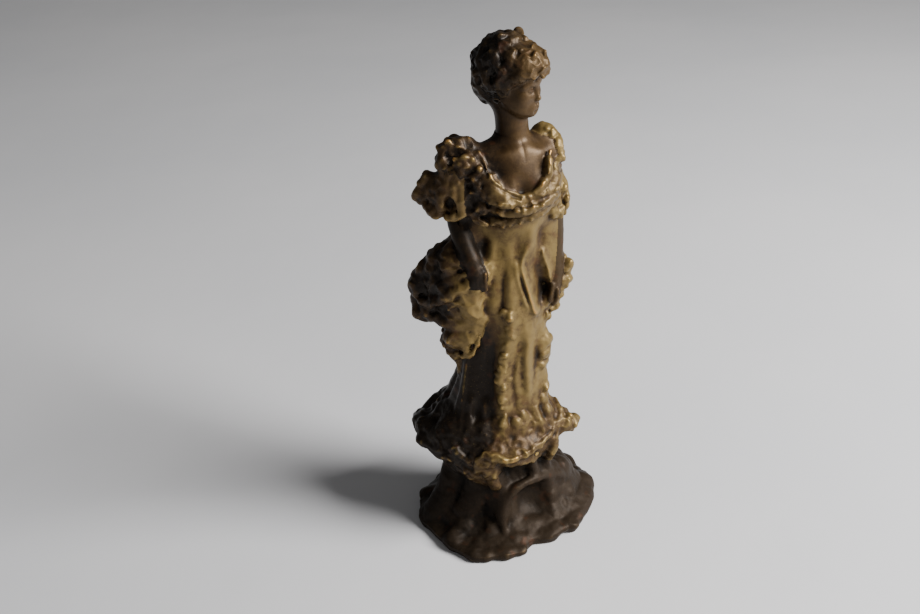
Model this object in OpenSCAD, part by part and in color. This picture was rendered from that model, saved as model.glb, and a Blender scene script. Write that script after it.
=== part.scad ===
// Bronze statuette of a standing lady in a gathered gown, cast in sections.
// Origin: on the table, in the middle of the outline. +Z up, -Y towards the presentation side,
// +X to the viewer's right. "Right" and "left" pieces are the lady's own right and left.

/* [Base plate] */
// Width of the base plate, left to right
plate_w = 92; // [76:1:111]
// Depth of the base plate, front to back
plate_d = 98; // [84:1:118]
// Height of the seat that the mound stands on
plate_t = 6; // [5:0.5:9]
// Thickness of the plate at its rim
rim_t = 4; // [3:0.5:5]

/* [Mound] */
// Height of the rock mound, from the plate's seat to its deck
mound_h = 38; // [28:1:48]
// Width of the mound's waist
mound_waist_w = 50; // [42:1:56]
// Depth of the mound's waist
mound_waist_d = 42; // [36:1:48]
// Width of the mound's foot
mound_foot_w = 62; // [56:1:68]
// Depth of the mound's foot
mound_foot_d = 54; // [50:1:60]

/* [Skirt] */
// Height of the skirt, from the mound's deck to the waist
skirt_h = 106; // [86:1:128]
// Width of the skirt's foot, which the hem flounce fits round
foot_w = 52; // [44:1:63]
// Depth of the skirt's foot
foot_d = 42; // [38:1:50]
// Height of the plain foot under the hem flounce
foot_h = 14; // [12:1:18]
// Width of the skirt at the knee
knee_w = 39; // [34:1:44]
// Depth of the skirt at the knee
knee_d = 33; // [29:1:38]
// Width of the skirt at the hip
hip_w = 37; // [33:1:42]
// Depth of the skirt at the hip
hip_d = 31; // [27:1:36]
// How far the foot lies towards the lady's right of the waist
train = 6.5; // [0:0.5:9]

/* [Torso] */
// Height of the bodice, from the waist to the neckline joint
bodice_h = 28; // [23:1:34]
// Width of the waist
waist_w = 30; // [28:1:34]
// Depth of the waist
waist_d = 24; // [22:1:28]
// Width across the bust
bust_w = 38; // [34:1:46]
// Depth through the bust
bust_d = 30; // [26:1:34]
// Height of the bust casting, from the neckline joint to the neck joint
bust_h = 26; // [22:1:31]
// Diameter of the neck
neck_dia = 14.5; // [13:0.5:17]
// Turn of the torso away from the presentation side, in degrees
body_yaw = 25; // [0:1:35]

/* [Head] */
// Height of the head casting, from the neck joint to the top of the hair
head_h = 44; // [38:1:52]
// Width of the face
face_w = 21; // [19:1:25]
// Volume of the hair over the skull
hair_t = 5; // [4:0.5:6]
// Turn of the head away from the presentation side, in degrees
head_yaw = 62; // [20:1:75]

/* [Drapery] */
// Thickness of the rolls of the hem flounce
flounce_t = 15; // [12:1:17]
// How far the right pannier stands out from the hip
pannier_out = 27; // [20:1:32]
// Thickness of the rolls of the bertha collar
bertha_t = 7; // [6:0.5:9]
// Thickness of an arm at the elbow
arm_t = 9.5; // [8:0.5:10.5]

/* [Casting and joints] */
// Wall of the hollow castings
wall = 3; // [2.5:0.25:4]
// Thickness of the decks that close the mound and the skirt
deck_t = 4; // [3:0.5:6]
// Diameter of the waist sleeve
waist_sleeve_dia = 15; // [12:0.5:16]
// Diameter of the bust sleeve
bust_sleeve_dia = 13; // [10:0.5:14]
// Diameter of the neck sleeve
neck_sleeve_dia = 8; // [6:0.5:9]
// How deep each sleeve goes into its socket
sleeve_h = 10; // [7:1:13]
// Diameter of the cross pins in the sleeves
pin_dia = 2; // [1.5:0.1:2.5]
// Clearance round a sleeve or a foot in its socket
fit = 0.15; // [0.1:0.05:0.3]

/* [Tie rod] */
// Diameter of the threaded tie rod
rod_dia = 6; // [5:0.2:8]
// Clearance round the rod where it passes through
rod_gap = 0.4; // [0.3:0.1:0.8]
// Thickness of the bridge bar that takes the rod
bridge_t = 5; // [4:0.5:7]
// Width of the bridge bar
bridge_w = 12; // [11:1:16]
// Height of the nut
nut_h = 5; // [4:0.5:6]
// Thickness of the washer
washer_t = 1.2; // [0.8:0.2:1.6]
// Diameter of the pocket under the plate
pocket_dia = 22; // [20:1:28]

/* [Hidden] */

sides = 40;            // sides of a casting's rings
bead_fn = 14;          // fineness of the spheres inside the hulls
eps = 0.01;
$fn = 32;

// Heights of the joints, from the table up
deck_z = plate_t + mound_h;
waist_z = deck_z + skirt_h;
neckline_z = waist_z + bodice_h;
neck_z = neckline_z + bust_h;
top_z = neck_z + head_h;

// Centres of the castings in plan
foot_c = [-train, 1];
waist_c = [0, 0];
neck_c = [-0.5, 0];
mound_c = [-1, 2];
plate_c = [1.5, 3];

// Tie rod, nut and pocket
boss_t = 6;                                   // height of the plate's boss above its seat
boss_r = 15;
pocket_z = plate_t + boss_t - 4;              // roof of the pocket
rod_bottom = 1.5;
rod_at = [1, -3.7];                           // tie rod's axis in plan, from the origin
bar_gap = 0.75;                               // room at each end of the bridge bar
ledge_z = deck_z + foot_h - bridge_t - 2;     // the skirt's inner ledge, under the bridge bar
foot_z = deck_z + foot_h;                     // top of the skirt's straight foot
register_h = 2.5;                             // height of the mound's register in the foot

// Colours of the patina
bronze = "#6f5d3b";
flesh = "#75603f";
dark = "#3a2d1f";
steel = "#8c8f92";
brass = "#a98f4f";

// ---------- helpers ----------

function mix(a, b, t) = a + (b - a) * t;

// One ring of a casting: an ellipse with a number of folds pressed into it.
function ring(z, c, w, d, folds = 0, depth = 0, turn = 0) = [
    for (i = [0 : sides - 1])
        let (t = 360 * i / sides, k = 1 + depth * cos(folds * t + turn))
            [c[0] + w / 2 * k * cos(t), c[1] + d / 2 * k * sin(t), z]
];

function centre(r) = [for (k = [0 : 2]) let (v = [for (p = r) p[k]]) (min(v) + max(v)) / 2];

// A closed surface through a stack of rings, which starts and ends in a flat cap.
module skin(rings) {
    n = len(rings[0]);
    m = len(rings);
    points = concat([for (r = rings) each r], [centre(rings[0]), centre(rings[m - 1])]);
    walls = [
        for (j = [0 : m - 2], i = [0 : n - 1])
            let (a = j * n + i, b = j * n + (i + 1) % n)
                each [[a, a + n, b + n], [a, b + n, b]]
    ];
    first = [for (i = [0 : n - 1]) [m * n, i, (i + 1) % n]];
    last = [for (i = [0 : n - 1]) [m * n + 1, (m - 1) * n + (i + 1) % n, (m - 1) * n + i]];
    polyhedron(points, concat(first, walls, last));
}

// A roll of drapery: spheres at [x, y, z, diameter], joined one to the next.
module roll(beads) {
    for (i = [0 : len(beads) - 2])
        hull() {
            bead(beads[i]);
            bead(beads[i + 1]);
        }
}

module bead(b) translate([b[0], b[1], b[2]]) sphere(d = b[3], $fn = bead_fn);

// A closed hoop of drapery through [x, y, z, diameter], as one surface.
hoop_sides = 12;
module hoop(path, c) {
    m = len(path);
    n = hoop_sides;
    points = [
        for (p = path)
            let (out = atan2(p[1] - c[1], p[0] - c[0]))
                for (i = [0 : n - 1])
                    let (a = 360 * i / n, r = p[3] / 2)
                        [p[0] + r * cos(a) * cos(out), p[1] + r * cos(a) * sin(out), p[2] + r * sin(a)]
    ];
    faces = [
        for (j = [0 : m - 1], i = [0 : n - 1])
            let (
                a = j * n + i,
                b = j * n + (i + 1) % n,
                e = (j + 1) % m * n + i,
                g = (j + 1) % m * n + (i + 1) % n
            )
                each [[a, b, g], [a, g, e]]
    ];
    polyhedron(points, faces);
}

// A puff: one hull round several beads.
module puff(beads) hull() for (b = beads) bead(b);

// The whole outline is centred on the origin, so the tie rod stands a little to one side.
module placed() translate([rod_at[0], rod_at[1], 0]) children();

module in_body() translate([waist_c[0], waist_c[1], 0]) rotate(body_yaw) children();

module in_head() translate([neck_c[0], neck_c[1], neck_z]) rotate(head_yaw) children();

// ---------- forms that more than one casting meets ----------

// Outside of the skirt, from the deck to the waist
skirt_stations = [
    // share of the height above the foot, width, depth, share of the train, fold depth
    [0.00, foot_w, foot_d, 1.00, 0],
    [0.12, mix(foot_w, knee_w, 0.12), mix(foot_d, knee_d, 0.2), 1.15, 0.03],
    [0.28, mix(foot_w, knee_w, 0.75), mix(foot_d, knee_d, 0.65), 0.65, 0.04],
    [0.45, knee_w, knee_d, 0.40, 0.04],
    [0.62, hip_w, hip_d, 0.15, 0.035],
    [0.78, hip_w, hip_d, 0.05, 0.03],
    [0.90, mix(hip_w, waist_w, 0.55), mix(hip_d, waist_d, 0.55), 0, 0.02],
    [1.00, waist_w, waist_d, 0, 0]
];
skirt_folds = 9;

function skirt_c(s) = [mix(waist_c[0], foot_c[0], s), mix(waist_c[1], foot_c[1], s)];
function skirt_z(t) = foot_z + (waist_z - foot_z) * t;
function turned(r, c, a) = [
    for (p = r)
        let (x = p[0] - c[0], y = p[1] - c[1])
            [c[0] + x * cos(a) - y * sin(a), c[1] + x * sin(a) + y * cos(a), p[2]]
];

function skirt_rings(inset, fold) = [
    for (s = skirt_stations)
        let (c = skirt_c(s[3]))
            turned(ring(skirt_z(s[0]), c, s[1] - 2 * inset, s[2] - 2 * inset,
                        skirt_folds, s[4] * fold, 60), c, body_yaw * s[0])
];

module skirt_form() skin(concat([ring(deck_z, foot_c, foot_w, foot_d)], skirt_rings(0, 1)));

// Outside of the bodice and of the bust, in the torso's own frame
module bodice_form() skin([
    ring(waist_z, [0, 0], waist_w, waist_d),
    ring(mix(waist_z, neckline_z, 0.3), [-0.5, -0.2], mix(waist_w, bust_w, 0.3), waist_d + 0.5),
    ring(mix(waist_z, neckline_z, 0.65), [-0.3, -1.2], mix(waist_w, bust_w, 0.85), bust_d - 2),
    ring(neckline_z, [0, -1.5], bust_w - 1, bust_d)
]);

module bust_form() skin([
    ring(neckline_z, [0, -1.5], bust_w - 1, bust_d),
    ring(mix(neckline_z, neck_z, 0.32), [0, -1], bust_w, bust_d - 4),
    ring(mix(neckline_z, neck_z, 0.60), [0, 0], bust_w + 1, bust_d - 8),
    ring(mix(neckline_z, neck_z, 0.76), [0, 0], mix(neck_dia, bust_w, 0.85), 19),
    ring(mix(neckline_z, neck_z, 0.89), [0.3, 0], mix(neck_dia, bust_w, 0.4), 17.5),
    ring(neck_z, turned([concat(neck_c, 0)], [0, 0], -body_yaw)[0], neck_dia + 2, neck_dia + 2)
]);

module torso_form() in_body() {
    bodice_form();
    bust_form();
}

// Outside of the mound, up to its deck
module mound_form() skin([
    ring(plate_t, mound_c, mound_foot_w, mound_foot_d, 7, 0.05, 20),
    ring(plate_t + mound_h * 0.12, mound_c, mound_foot_w - 6, mound_foot_d - 6, 7, 0.05, 30),
    ring(plate_t + mound_h * 0.32, mound_c, mound_waist_w + 1, mound_waist_d + 1, 7, 0.04, 45),
    ring(plate_t + mound_h * 0.55, mix(mound_c, foot_c, 0.3), mound_waist_w, mound_waist_d, 7, 0.03, 60),
    ring(deck_z - 8, foot_c, foot_w, foot_d),
    ring(deck_z, foot_c, foot_w, foot_d)
]);

// Path of the hem flounce: a wavy hoop round the foot, slack in front, close behind,
// and tucked up at the lady's right
flounce_beads = 36;
function flounce_at(t) =
    let (
        back = max(0, sin(t)),
        front = max(0, -sin(t)),
        tuck = pow(max(0, cos(t - 212)), 6),
        out = flounce_t * (0.44 + 0.06 * cos(5 * t) - 0.2 * back - 0.04 * front - 0.25 * tuck),
        sag = -5 * front - 1 * back + 2 * cos(4 * t + 40) + 4 * tuck,
        size = flounce_t * (0.78 + 0.24 * front + 0.09 * cos(5 * t + 70) + 0.06 * cos(9 * t) - 0.2 * tuck)
    )
        [foot_c[0] + (foot_w / 2 + out) * cos(t), foot_c[1] + (foot_d / 2 + out) * sin(t),
         deck_z + foot_h * 0.5 + sag, size];
function flounce_path() = [for (i = [0 : flounce_beads - 1]) flounce_at(360 * i / flounce_beads)];

// Arms: [x, y, z, diameter] from the shoulder to the fingers
shoulder_z = neck_z - 7;
right_elbow = [-bust_w / 2 - 5.5, -9, waist_z + 15];
right_hand = [-15, -17.5, waist_z - 7];
left_elbow = [bust_w / 2 + 0.5, 9, waist_z + 14];
left_hand = [20.5, 2, waist_z - 23];

module right_arm_form() roll([
    [-bust_w / 2 + 2, -8, shoulder_z, arm_t + 1],
    [-bust_w / 2 - 2, -8.5, mix(shoulder_z, right_elbow[2], 0.35), arm_t + 1],
    [-bust_w / 2 - 4.5, -9, mix(shoulder_z, right_elbow[2], 0.75), arm_t + 0.6],
    concat(right_elbow, arm_t),
    [mix(right_elbow[0], right_hand[0], 0.35), -12.5, mix(right_elbow[2], right_hand[2], 0.35), arm_t - 1],
    [mix(right_elbow[0], right_hand[0], 0.75), -16.5, mix(right_elbow[2], right_hand[2], 0.72), arm_t - 3.5],
    concat(right_hand, arm_t - 2.5),
    [right_hand[0] + 2, right_hand[1] + 1, right_hand[2] - 5, arm_t - 3.5],
    [right_hand[0] + 2.5, right_hand[1] + 2.5, right_hand[2] - 9, arm_t - 5]
]);

module left_arm_form() roll([
    [bust_w / 2 - 5, 7, shoulder_z, arm_t + 1],
    [bust_w / 2 - 3, 8, mix(shoulder_z, left_elbow[2], 0.35), arm_t + 0.5],
    [bust_w / 2 - 0.5, 9, mix(shoulder_z, left_elbow[2], 0.75), arm_t],
    concat(left_elbow, arm_t - 1),
    [left_elbow[0] + 1, 7, mix(left_elbow[2], left_hand[2], 0.35), arm_t - 1.5],
    [left_elbow[0] + 1.2, 5, mix(left_elbow[2], left_hand[2], 0.75), arm_t - 3.5],
    concat(left_hand, arm_t - 3.2),
    [left_hand[0] - 0.5, left_hand[1] - 0.5, left_hand[2] - 5, arm_t - 3.8],
    [left_hand[0] - 1.5, left_hand[1] + 0.5, left_hand[2] - 9, arm_t - 5]
]);

// ---------- castings ----------

// Rim of the plate: a soft irregular outline, as lobes [number, depth, turn] on an ellipse
plate_lobes = [
    [1, 0.03, 140], [2, 0.13, 102], [3, 0.015, 215],
    [4, 0.015, 335], [5, 0.02, 195], [9, 0.012, 60]
];
function lobed(t) = 0.94 + [for (l = plate_lobes) l[1] * cos(l[0] * t - l[2])] * [for (l = plate_lobes) 1];
function plate_ring(z, k, calm = 1) = [
    for (i = [0 : sides * 2 - 1])
        let (t = 180 * i / sides, r = k * mix(0.9, lobed(t), calm))
            [plate_c[0] + plate_w / 2 * r * cos(t), plate_c[1] + plate_d / 2 * r * sin(t), z]
];

module base_plate() color(dark) placed() difference() {
    union() {
        skin([
            plate_ring(0, 0.97),
            plate_ring(rim_t * 0.4, 1.0),
            plate_ring(rim_t * 0.8, 1.0),
            plate_ring(rim_t, 0.975),
            plate_ring(plate_t, 0.78, 0.4)
        ]);
        cylinder(r = boss_r, h = plate_t + boss_t);
    }
    translate([0, 0, -eps]) cylinder(d = pocket_dia, h = pocket_z + eps);
    cylinder(d = rod_dia + rod_gap, h = plate_t + boss_t + eps);
    for (s = dowel_places())
        translate([s[0], s[1], plate_t - dowel_in])
            cylinder(d = dowel_dia, h = dowel_in + eps);
}

// Dowels that keep the mound from turning on the plate
dowel_dia = 3;
dowel_in = 4;
function dowel_places() = [
    for (a = [20, 200]) [
        mound_c[0] + (mound_foot_w / 2 - 8.5) * cos(a),
        mound_c[1] + (mound_foot_d / 2 - 8.5) * sin(a)
    ]
];

module mound_dowels() color(brass) placed()
    for (s = dowel_places())
        translate([s[0], s[1], plate_t - dowel_in])
            cylinder(d = dowel_dia, h = 2 * dowel_in);

module mound_hollow() skin([
    ring(plate_t - eps, [0, 0], 2 * (boss_r + fit), 2 * (boss_r + fit)),
    ring(plate_t + boss_t, [0, 0], 2 * (boss_r + fit), 2 * (boss_r + fit)),
    ring(plate_t + boss_t + 2, mound_c, mound_waist_w - 4 * wall, mound_waist_d - 4 * wall),
    ring(deck_z - deck_t, foot_c, foot_w - 4 * wall, foot_d - 4 * wall)
]);

module rock_mound() color(dark) placed() difference() {
    union() {
        mound_form();
        // register that the skirt's foot fits round
        skin([for (z = [deck_z - eps, deck_z + register_h])
            ring(z, foot_c, foot_w - 4 * wall - 2 * fit, foot_d - 4 * wall - 2 * fit)]);
    }
    mound_hollow();
    translate([0, 0, deck_z - deck_t - eps]) cylinder(d = rod_dia + rod_gap, h = 3 * deck_t);
    for (s = dowel_places())
        translate([s[0], s[1], plate_t - eps])
            cylinder(d = dowel_dia, h = dowel_in + eps);
}

module hem_flounce() color(bronze) placed() difference() {
    hoop(flounce_path(), foot_c);
    skin([for (z = [0, top_z]) ring(z, foot_c, foot_w + 2 * fit, foot_d + 2 * fit)]);
    for (a = hem_pin_places) hem_pin(a);
}

// Blind pins that hold the flounce to the skirt's foot, put in from inside the foot
hem_pin_places = [45, 135, 225, 315];
module hem_pin(a) {
    at = [foot_c[0] + foot_w / 2 * cos(a), foot_c[1] + foot_d / 2 * sin(a), flounce_at(a)[2]];
    translate(at) rotate([0, 90, atan2(foot_w * sin(a), foot_d * cos(a))])
        translate([0, 0, -wall]) cylinder(d = pin_dia, h = wall + flounce_t / 3);
}
module hem_pins() color(brass) placed() for (a = hem_pin_places) hem_pin(a);

module skirt_hollow() {
    skin([for (z = [deck_z - eps, ledge_z + eps])
        ring(z, foot_c, foot_w - 4 * wall, foot_d - 4 * wall)]);
    skin(concat(
        [for (z = [ledge_z, foot_z]) ring(z, foot_c, foot_w - 2 * wall, foot_d - 2 * wall)],
        [
            for (s = skirt_stations)
                if (s[0] > 0 && s[0] < 0.9)
                    let (c = skirt_c(s[3]), in = wall + 0.8)
                        turned(ring(skirt_z(s[0]), c, s[1] - 2 * in, s[2] - 2 * in), c, body_yaw * s[0])
        ]
    ));
}

module skirt() color(bronze) placed() difference() {
    skirt_form();
    skirt_hollow();
    translate([0, 0, waist_z - sleeve_h - fit])
        cylinder(d = waist_sleeve_dia + 2 * fit, h = 2 * sleeve_h);
    waist_cross();
    for (a = hem_pin_places) hem_pin(a);
    pannier_bores();
}

// Two crossed pins through a sleeve joint, of length h, centred on c at height z
module cross_pins(z, h, turn, c) translate([c[0], c[1], z]) rotate(turn)
    for (k = [0, 1]) translate([0, 0, (k - 0.5) * (pin_dia + 1)]) rotate([90, 0, 90 * k])
        cylinder(d = pin_dia, h = h, center = true);

module waist_cross() cross_pins(waist_z - sleeve_h / 2, min(waist_w, waist_d) - 2, 0, waist_c);
module bust_cross() cross_pins(neckline_z - sleeve_h / 2, min(bust_w, bust_d) - 6, body_yaw, waist_c);
module neck_cross() cross_pins(neck_z - sleeve_h / 2, neck_dia - 3, head_yaw, neck_c);

// Pins between the torso and the arms
module arm_pin_bores() in_body() for (s = [-1, 1])
    translate([s * (bust_w / 2 - 2), 0, shoulder_z - 3]) rotate([0, 90 * s, 0])
        translate([0, 0, -6]) cylinder(d = pin_dia, h = 10);
module arm_pins() color(brass) placed() arm_pin_bores();

// Pins between the skirt and the panniers, put in from inside the skirt
module pannier_bores() {
    for (z = [waist_z - 15, waist_z - 24]) translate([-hip_w / 2 - 5, 0, z]) rotate([0, 90, 0])
        cylinder(d = pin_dia, h = 9);
    translate([-hip_w / 2 - 5, -2, waist_z - 44]) rotate([0, 90, 0]) cylinder(d = pin_dia, h = 8);
    translate([hip_w / 2 - 5, 6, waist_z - 22]) rotate([0, 90, 0]) cylinder(d = pin_dia, h = 6);
}
module pannier_pins() color(brass) placed() difference() {
    pannier_bores();
    skirt_hollow();
}

module waist_pins() color(brass) placed() waist_cross();
module bust_pins() color(brass) placed() bust_cross();
module neck_pins() color(brass) placed() neck_cross();

module bodice() color(bronze) placed() difference() {
    union() {
        in_body() bodice_form();
        translate([0, 0, waist_z - sleeve_h]) cylinder(d = waist_sleeve_dia, h = sleeve_h + wall);
    }
    translate([0, 0, waist_z - sleeve_h - eps])
        cylinder(d = waist_sleeve_dia - 2 * wall, h = sleeve_h + bodice_h);
    translate([0, 0, neckline_z - sleeve_h - fit]) cylinder(d = bust_sleeve_dia + 2 * fit, h = 2 * sleeve_h);
    waist_cross();
    bust_cross();
}

module bust() color(flesh) placed() difference() {
    union() {
        in_body() bust_form();
        translate([0, 0, neckline_z - sleeve_h]) cylinder(d = bust_sleeve_dia, h = sleeve_h + wall);
    }
    translate([neck_c[0], neck_c[1], neck_z - sleeve_h - fit])
        cylinder(d = neck_sleeve_dia + 2 * fit, h = 2 * sleeve_h);
    bust_cross();
    neck_cross();
    arm_pin_bores();
}

// Head, in its own frame: the face looks along -Y, the neck joint is at height 0
skull_z = head_h - hair_t - face_w / 2 - 2;
skull_y = -2;
module head() color(flesh) placed() {
    in_head() {
        roll([
            [0, 0.5, neck_dia / 2 - 0.6, neck_dia + 1],
            [0, 1, skull_z - 9, neck_dia],
            [0, 2, skull_z - 3, neck_dia + 2]
        ]);
        difference() {
            roll([[0, 0.5, 0, neck_dia + 2], [0, 0.5, 5, neck_dia + 0.5]]);
            translate([0, 0, -neck_dia]) cylinder(d = 3 * neck_dia, h = neck_dia);
        }
        puff([
            [0, skull_y + 2, skull_z + 1, face_w + 1],
            [0, skull_y - 7, skull_z - 1, face_w - 7],
            [0, skull_y - 9.5, skull_z - 13, 6],
            [-5, skull_y - 4, skull_z - 8.5, 8],
            [5, skull_y - 4, skull_z - 8.5, 8]
        ]);
        roll([[0, skull_y - 12.5, skull_z - 2, 2.6], [0, skull_y - 14, skull_z - 6, 3.2]]);
        hair();
    }
    difference() {
        translate([neck_c[0], neck_c[1], neck_z - sleeve_h]) cylinder(d = neck_sleeve_dia, h = sleeve_h + 2);
        neck_cross();
    }
}

// Upswept hair: a cap with locks from the nape over the crown, and curls on the brow
lock_steps = 5;
module hair() {
    cap = face_w + hair_t + 1;
    puff([
        [0, skull_y + 4, skull_z + 2, cap],
        [0, skull_y - 3, skull_z + 4, cap - 3],
        [0, skull_y + 7, skull_z - 7, cap - 12],
        [0, skull_y + 5, skull_z - 15, cap - 18]
    ]);
    for (k = [-1.5 : 1.5])
        roll([for (i = [0 : lock_steps])
            let (a = mix(-30, 128, i / lock_steps), side = k * 30, r = face_w / 2 + 1)
                [(r + 0.5) * sin(side) * (0.6 + 0.4 * sin(min(90, max(0, a)))),
                 skull_y + 2 + (r + 2.5) * cos(a) * cos(side * 0.6),
                 skull_z + 2.5 + (r + 0.5) * sin(a) * cos(side * 0.7),
                 2 * hair_t - 2.5]]);
    roll([
        [-8.5, skull_y - 8, skull_z + 6.5, 7], [-4.5, skull_y - 13, skull_z + 6.5, 6],
        [0, skull_y - 14, skull_z + 8, 7], [4.5, skull_y - 12.5, skull_z + 6.5, 6],
        [8.5, skull_y - 7, skull_z + 6, 7]
    ]);
    for (side = [-1, 1])
        roll([
            [8.5 * side, skull_y - 3, skull_z + 4, 6],
            [9.5 * side, skull_y + 2, skull_z - 3, 6],
            [6 * side, skull_y + 8, skull_z - 8, 6]
        ]);
}

module right_arm() color(flesh) placed() difference() {
    right_arm_form();
    torso_form();
    skirt_form();
    arm_pin_bores();
}

module left_arm() color(flesh) placed() difference() {
    left_arm_form();
    torso_form();
    skirt_form();
    arm_pin_bores();
}

// Gathered overskirt at the right hip, out to pannier_out beyond the hip
module right_pannier_form() {
    out = -hip_w / 2 - pannier_out;
    puff([
        [out + 14, 3, waist_z - 17, 22], [out + 12, 0, waist_z - 25, 22], [out + 20, 7, waist_z - 11, 20],
        [out + 22, -5, waist_z - 20, 18], [out + 27, 0, waist_z - 8, 16]
    ]);
    roll([
        [-16, -15, waist_z - 15, 7], [-23, -13, waist_z - 19, 9], [out + 12, -9, waist_z - 27, 10],
        [out + 4.5, -3, waist_z - 29, 9], [out + 5, 4, waist_z - 25, 10]
    ]);
    roll([
        [-15, -13, waist_z - 27, 8], [-24, -11, waist_z - 34, 9], [out + 11, -4, waist_z - 37, 9],
        [out + 10, 6, waist_z - 35, 9], [-22, 14, waist_z - 31, 10], [-12, 18, waist_z - 28, 10],
        [-2, 19, waist_z - 26, 9]
    ]);
    puff([[-22, 10, waist_z - 14, 18], [-10, 13, waist_z - 12, 14], [-6, 14, waist_z - 20, 14]]);
}

module right_pannier() color(bronze) placed() difference() {
    right_pannier_form();
    skirt_form();
    right_arm_form();
    torso_form();
    pannier_bores();
}

module right_pannier_tail() color(bronze) placed() difference() {
    union() {
        roll([
            [-17, -13, waist_z - 38, 9], [-24, -9, waist_z - 43, 12], [-27, -2, waist_z - 46, 13],
            [-26, -2, waist_z - 53, 11], [-24, -4, waist_z - 59, 8], [-23, -3, waist_z - 63, 5]
        ]);
        roll([[-24, 6, waist_z - 46, 11], [-18, 13, waist_z - 45, 10], [-8, 16, waist_z - 44, 9]]);
        roll([[-13, -15, waist_z - 36, 6], [-17, -13, waist_z - 38, 9]]);
    }
    skirt_form();
    right_pannier_form();
    pannier_bores();
}

module left_pannier_form() {
    puff([
        [19, 10, waist_z - 10, 14], [21, 9, waist_z - 20, 13], [17, 13, waist_z - 26, 13],
        [14, 12, waist_z - 8, 12]
    ]);
    roll([
        [23, 9, waist_z - 10, 6.5], [24, 8, waist_z - 15, 7], [23.5, 8, waist_z - 22, 7],
        [21, 7, waist_z - 28, 7.5], [17.5, 4, waist_z - 36, 7], [14.5, 0, waist_z - 40, 6]
    ]);
    roll([
        [16, -6, waist_z - 20, 5], [17.5, -3.5, waist_z - 28, 6], [17.5, 4, waist_z - 36, 7],
        [13, 12, waist_z - 34, 8], [5, 17, waist_z - 30, 9]
    ]);
}

module left_pannier() color(bronze) placed() difference() {
    left_pannier_form();
    skirt_form();
    left_arm_form();
    right_pannier_form();
    torso_form();
    pannier_bores();
}

// Gathered collar round the bust, in the torso's frame: a V in front, higher at the shoulders
bertha_beads = 28;
function bertha_path(lift, out, size, v) = [
    for (i = [0 : bertha_beads - 1])
        let (
            t = 360 * i / bertha_beads,
            side = abs(cos(t)),
            rise = (sin(t) < 0 ? pow(side, 2) : 1 - 0.65 * sin(t)) * v
        )
            [(bust_w / 2 + out - 0.12 * rise) * cos(t), -1 + (bust_d / 2 - 1 + out - 0.15 * rise) * sin(t),
             neckline_z + lift + rise + 0.7 * cos(7 * t), size * (1 + 0.08 * cos(9 * t))]
];
module bertha_form() in_body() {
    hoop(bertha_path(0.5, 0.4, bertha_t, 13), [0, -1]);
    hoop(bertha_path(-4.5, -0.2, bertha_t, 8), [0, -1]);
}
module bertha_collar() color(bronze) placed() difference() {
    bertha_form();
    torso_form();
    right_arm_form();
    left_arm_form();
    arm_pin_bores();
}

// Bows of ribbon on the shoulders
function right_bow_beads() = [
    [-3, -8, neck_z - 3, 9], [-8, -9, neck_z - 4, 9], [-10, -9, neck_z - 9, 9],
    [-7, -12, neck_z - 13, 10], [-2, -12, neck_z - 10, 8], [-1, -13, neck_z - 17, 7],
    [-7, -7, neck_z - 14, 11]
];
module right_bow_form() translate([-bust_w / 2, 0, 0]) {
    roll(right_bow_beads());
    roll([[0, -6, neck_z - 4, 6], [-3, -8, neck_z - 3, 9]]);
    roll([[-4, -4, neck_z - 6, 8], [-8, -4, neck_z - 9, 8]]);
}
module right_shoulder_bow() color(bronze) placed() difference() {
    right_bow_form();
    torso_form();
    right_arm_form();
    bertha_form();
}

module left_bow_form() translate([bust_w / 2, 0, 0]) {
    roll([
        [-7, 9, neck_z - 1.5, 8], [-3.5, 9.5, neck_z - 3, 8.5], [-2, 9, neck_z - 8, 9],
        [-4, 4, neck_z - 10, 8.5],
        [-2, 4, neck_z - 13, 7]
    ]);
    roll([[-4, 11, neck_z - 5, 8], [-2, 13, neck_z - 10, 8], [-2, 10, neck_z - 15, 8]]);
}
module left_shoulder_bow() color(bronze) placed() difference() {
    left_bow_form();
    torso_form();
    left_arm_form();
    bertha_form();
}

// Frills at the ends of the short sleeves
module right_frill_form() translate([-bust_w / 2, 0, 0]) {
    roll([
        [-14, -8, neck_z - 21, 9], [-19, -6, neck_z - 26, 9], [-21, -4, neck_z - 29, 7],
        [-17, -6, neck_z - 31, 8], [-12, -11, neck_z - 31, 9], [-7, -15, neck_z - 30, 8],
        [-3, -15, neck_z - 26, 7]
    ]);
    roll([[-12, -8, neck_z - 18, 8], [-10, -12, neck_z - 24, 9], [-5, -15, neck_z - 22, 7]]);
    roll([[-9, -3, neck_z - 22, 9], [-12, -2, neck_z - 28, 9]]);
}
module right_sleeve_ruffle() color(bronze) placed() difference() {
    right_frill_form();
    torso_form();
    right_arm_form();
    bertha_form();
    right_bow_form();
}

module left_frill_form() translate([bust_w / 2, 0, 0]) {
    roll([
        [2, 9, neck_z - 24, 8], [3.8, 9, neck_z - 29, 8.5], [3, 8, neck_z - 35, 8.5],
        [1.5, 4, neck_z - 37, 8], [0, 2, neck_z - 31, 8]
    ]);
    roll([[-2, 12, neck_z - 25, 9], [0, 13, neck_z - 31, 9], [1, 12, neck_z - 36, 8]]);
    roll([[0, 3, neck_z - 25, 8], [2, 3.5, neck_z - 31, 8.5], [1, 4, neck_z - 36, 8]]);
}
module left_sleeve_ruffle() color(bronze) placed() difference() {
    left_frill_form();
    torso_form();
    left_arm_form();
    bertha_form();
    left_bow_form();
}

// ---------- hardware ----------

// Bar across the skirt's foot, resting on the inner ledge
module bridge_bar() color(steel) placed() difference() {
    translate([0, 0, ledge_z]) intersection() {
        linear_extrude(bridge_t) translate([foot_c[0], 0]) square([foot_w, bridge_w], center = true);
        skin([for (z = [-1, bridge_t + 1])
            ring(z, foot_c, foot_w - 2 * wall - 2 * bar_gap, foot_d - 2 * wall - 2 * bar_gap)]);
    }
    cylinder(d = rod_dia, h = top_z);
}

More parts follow.
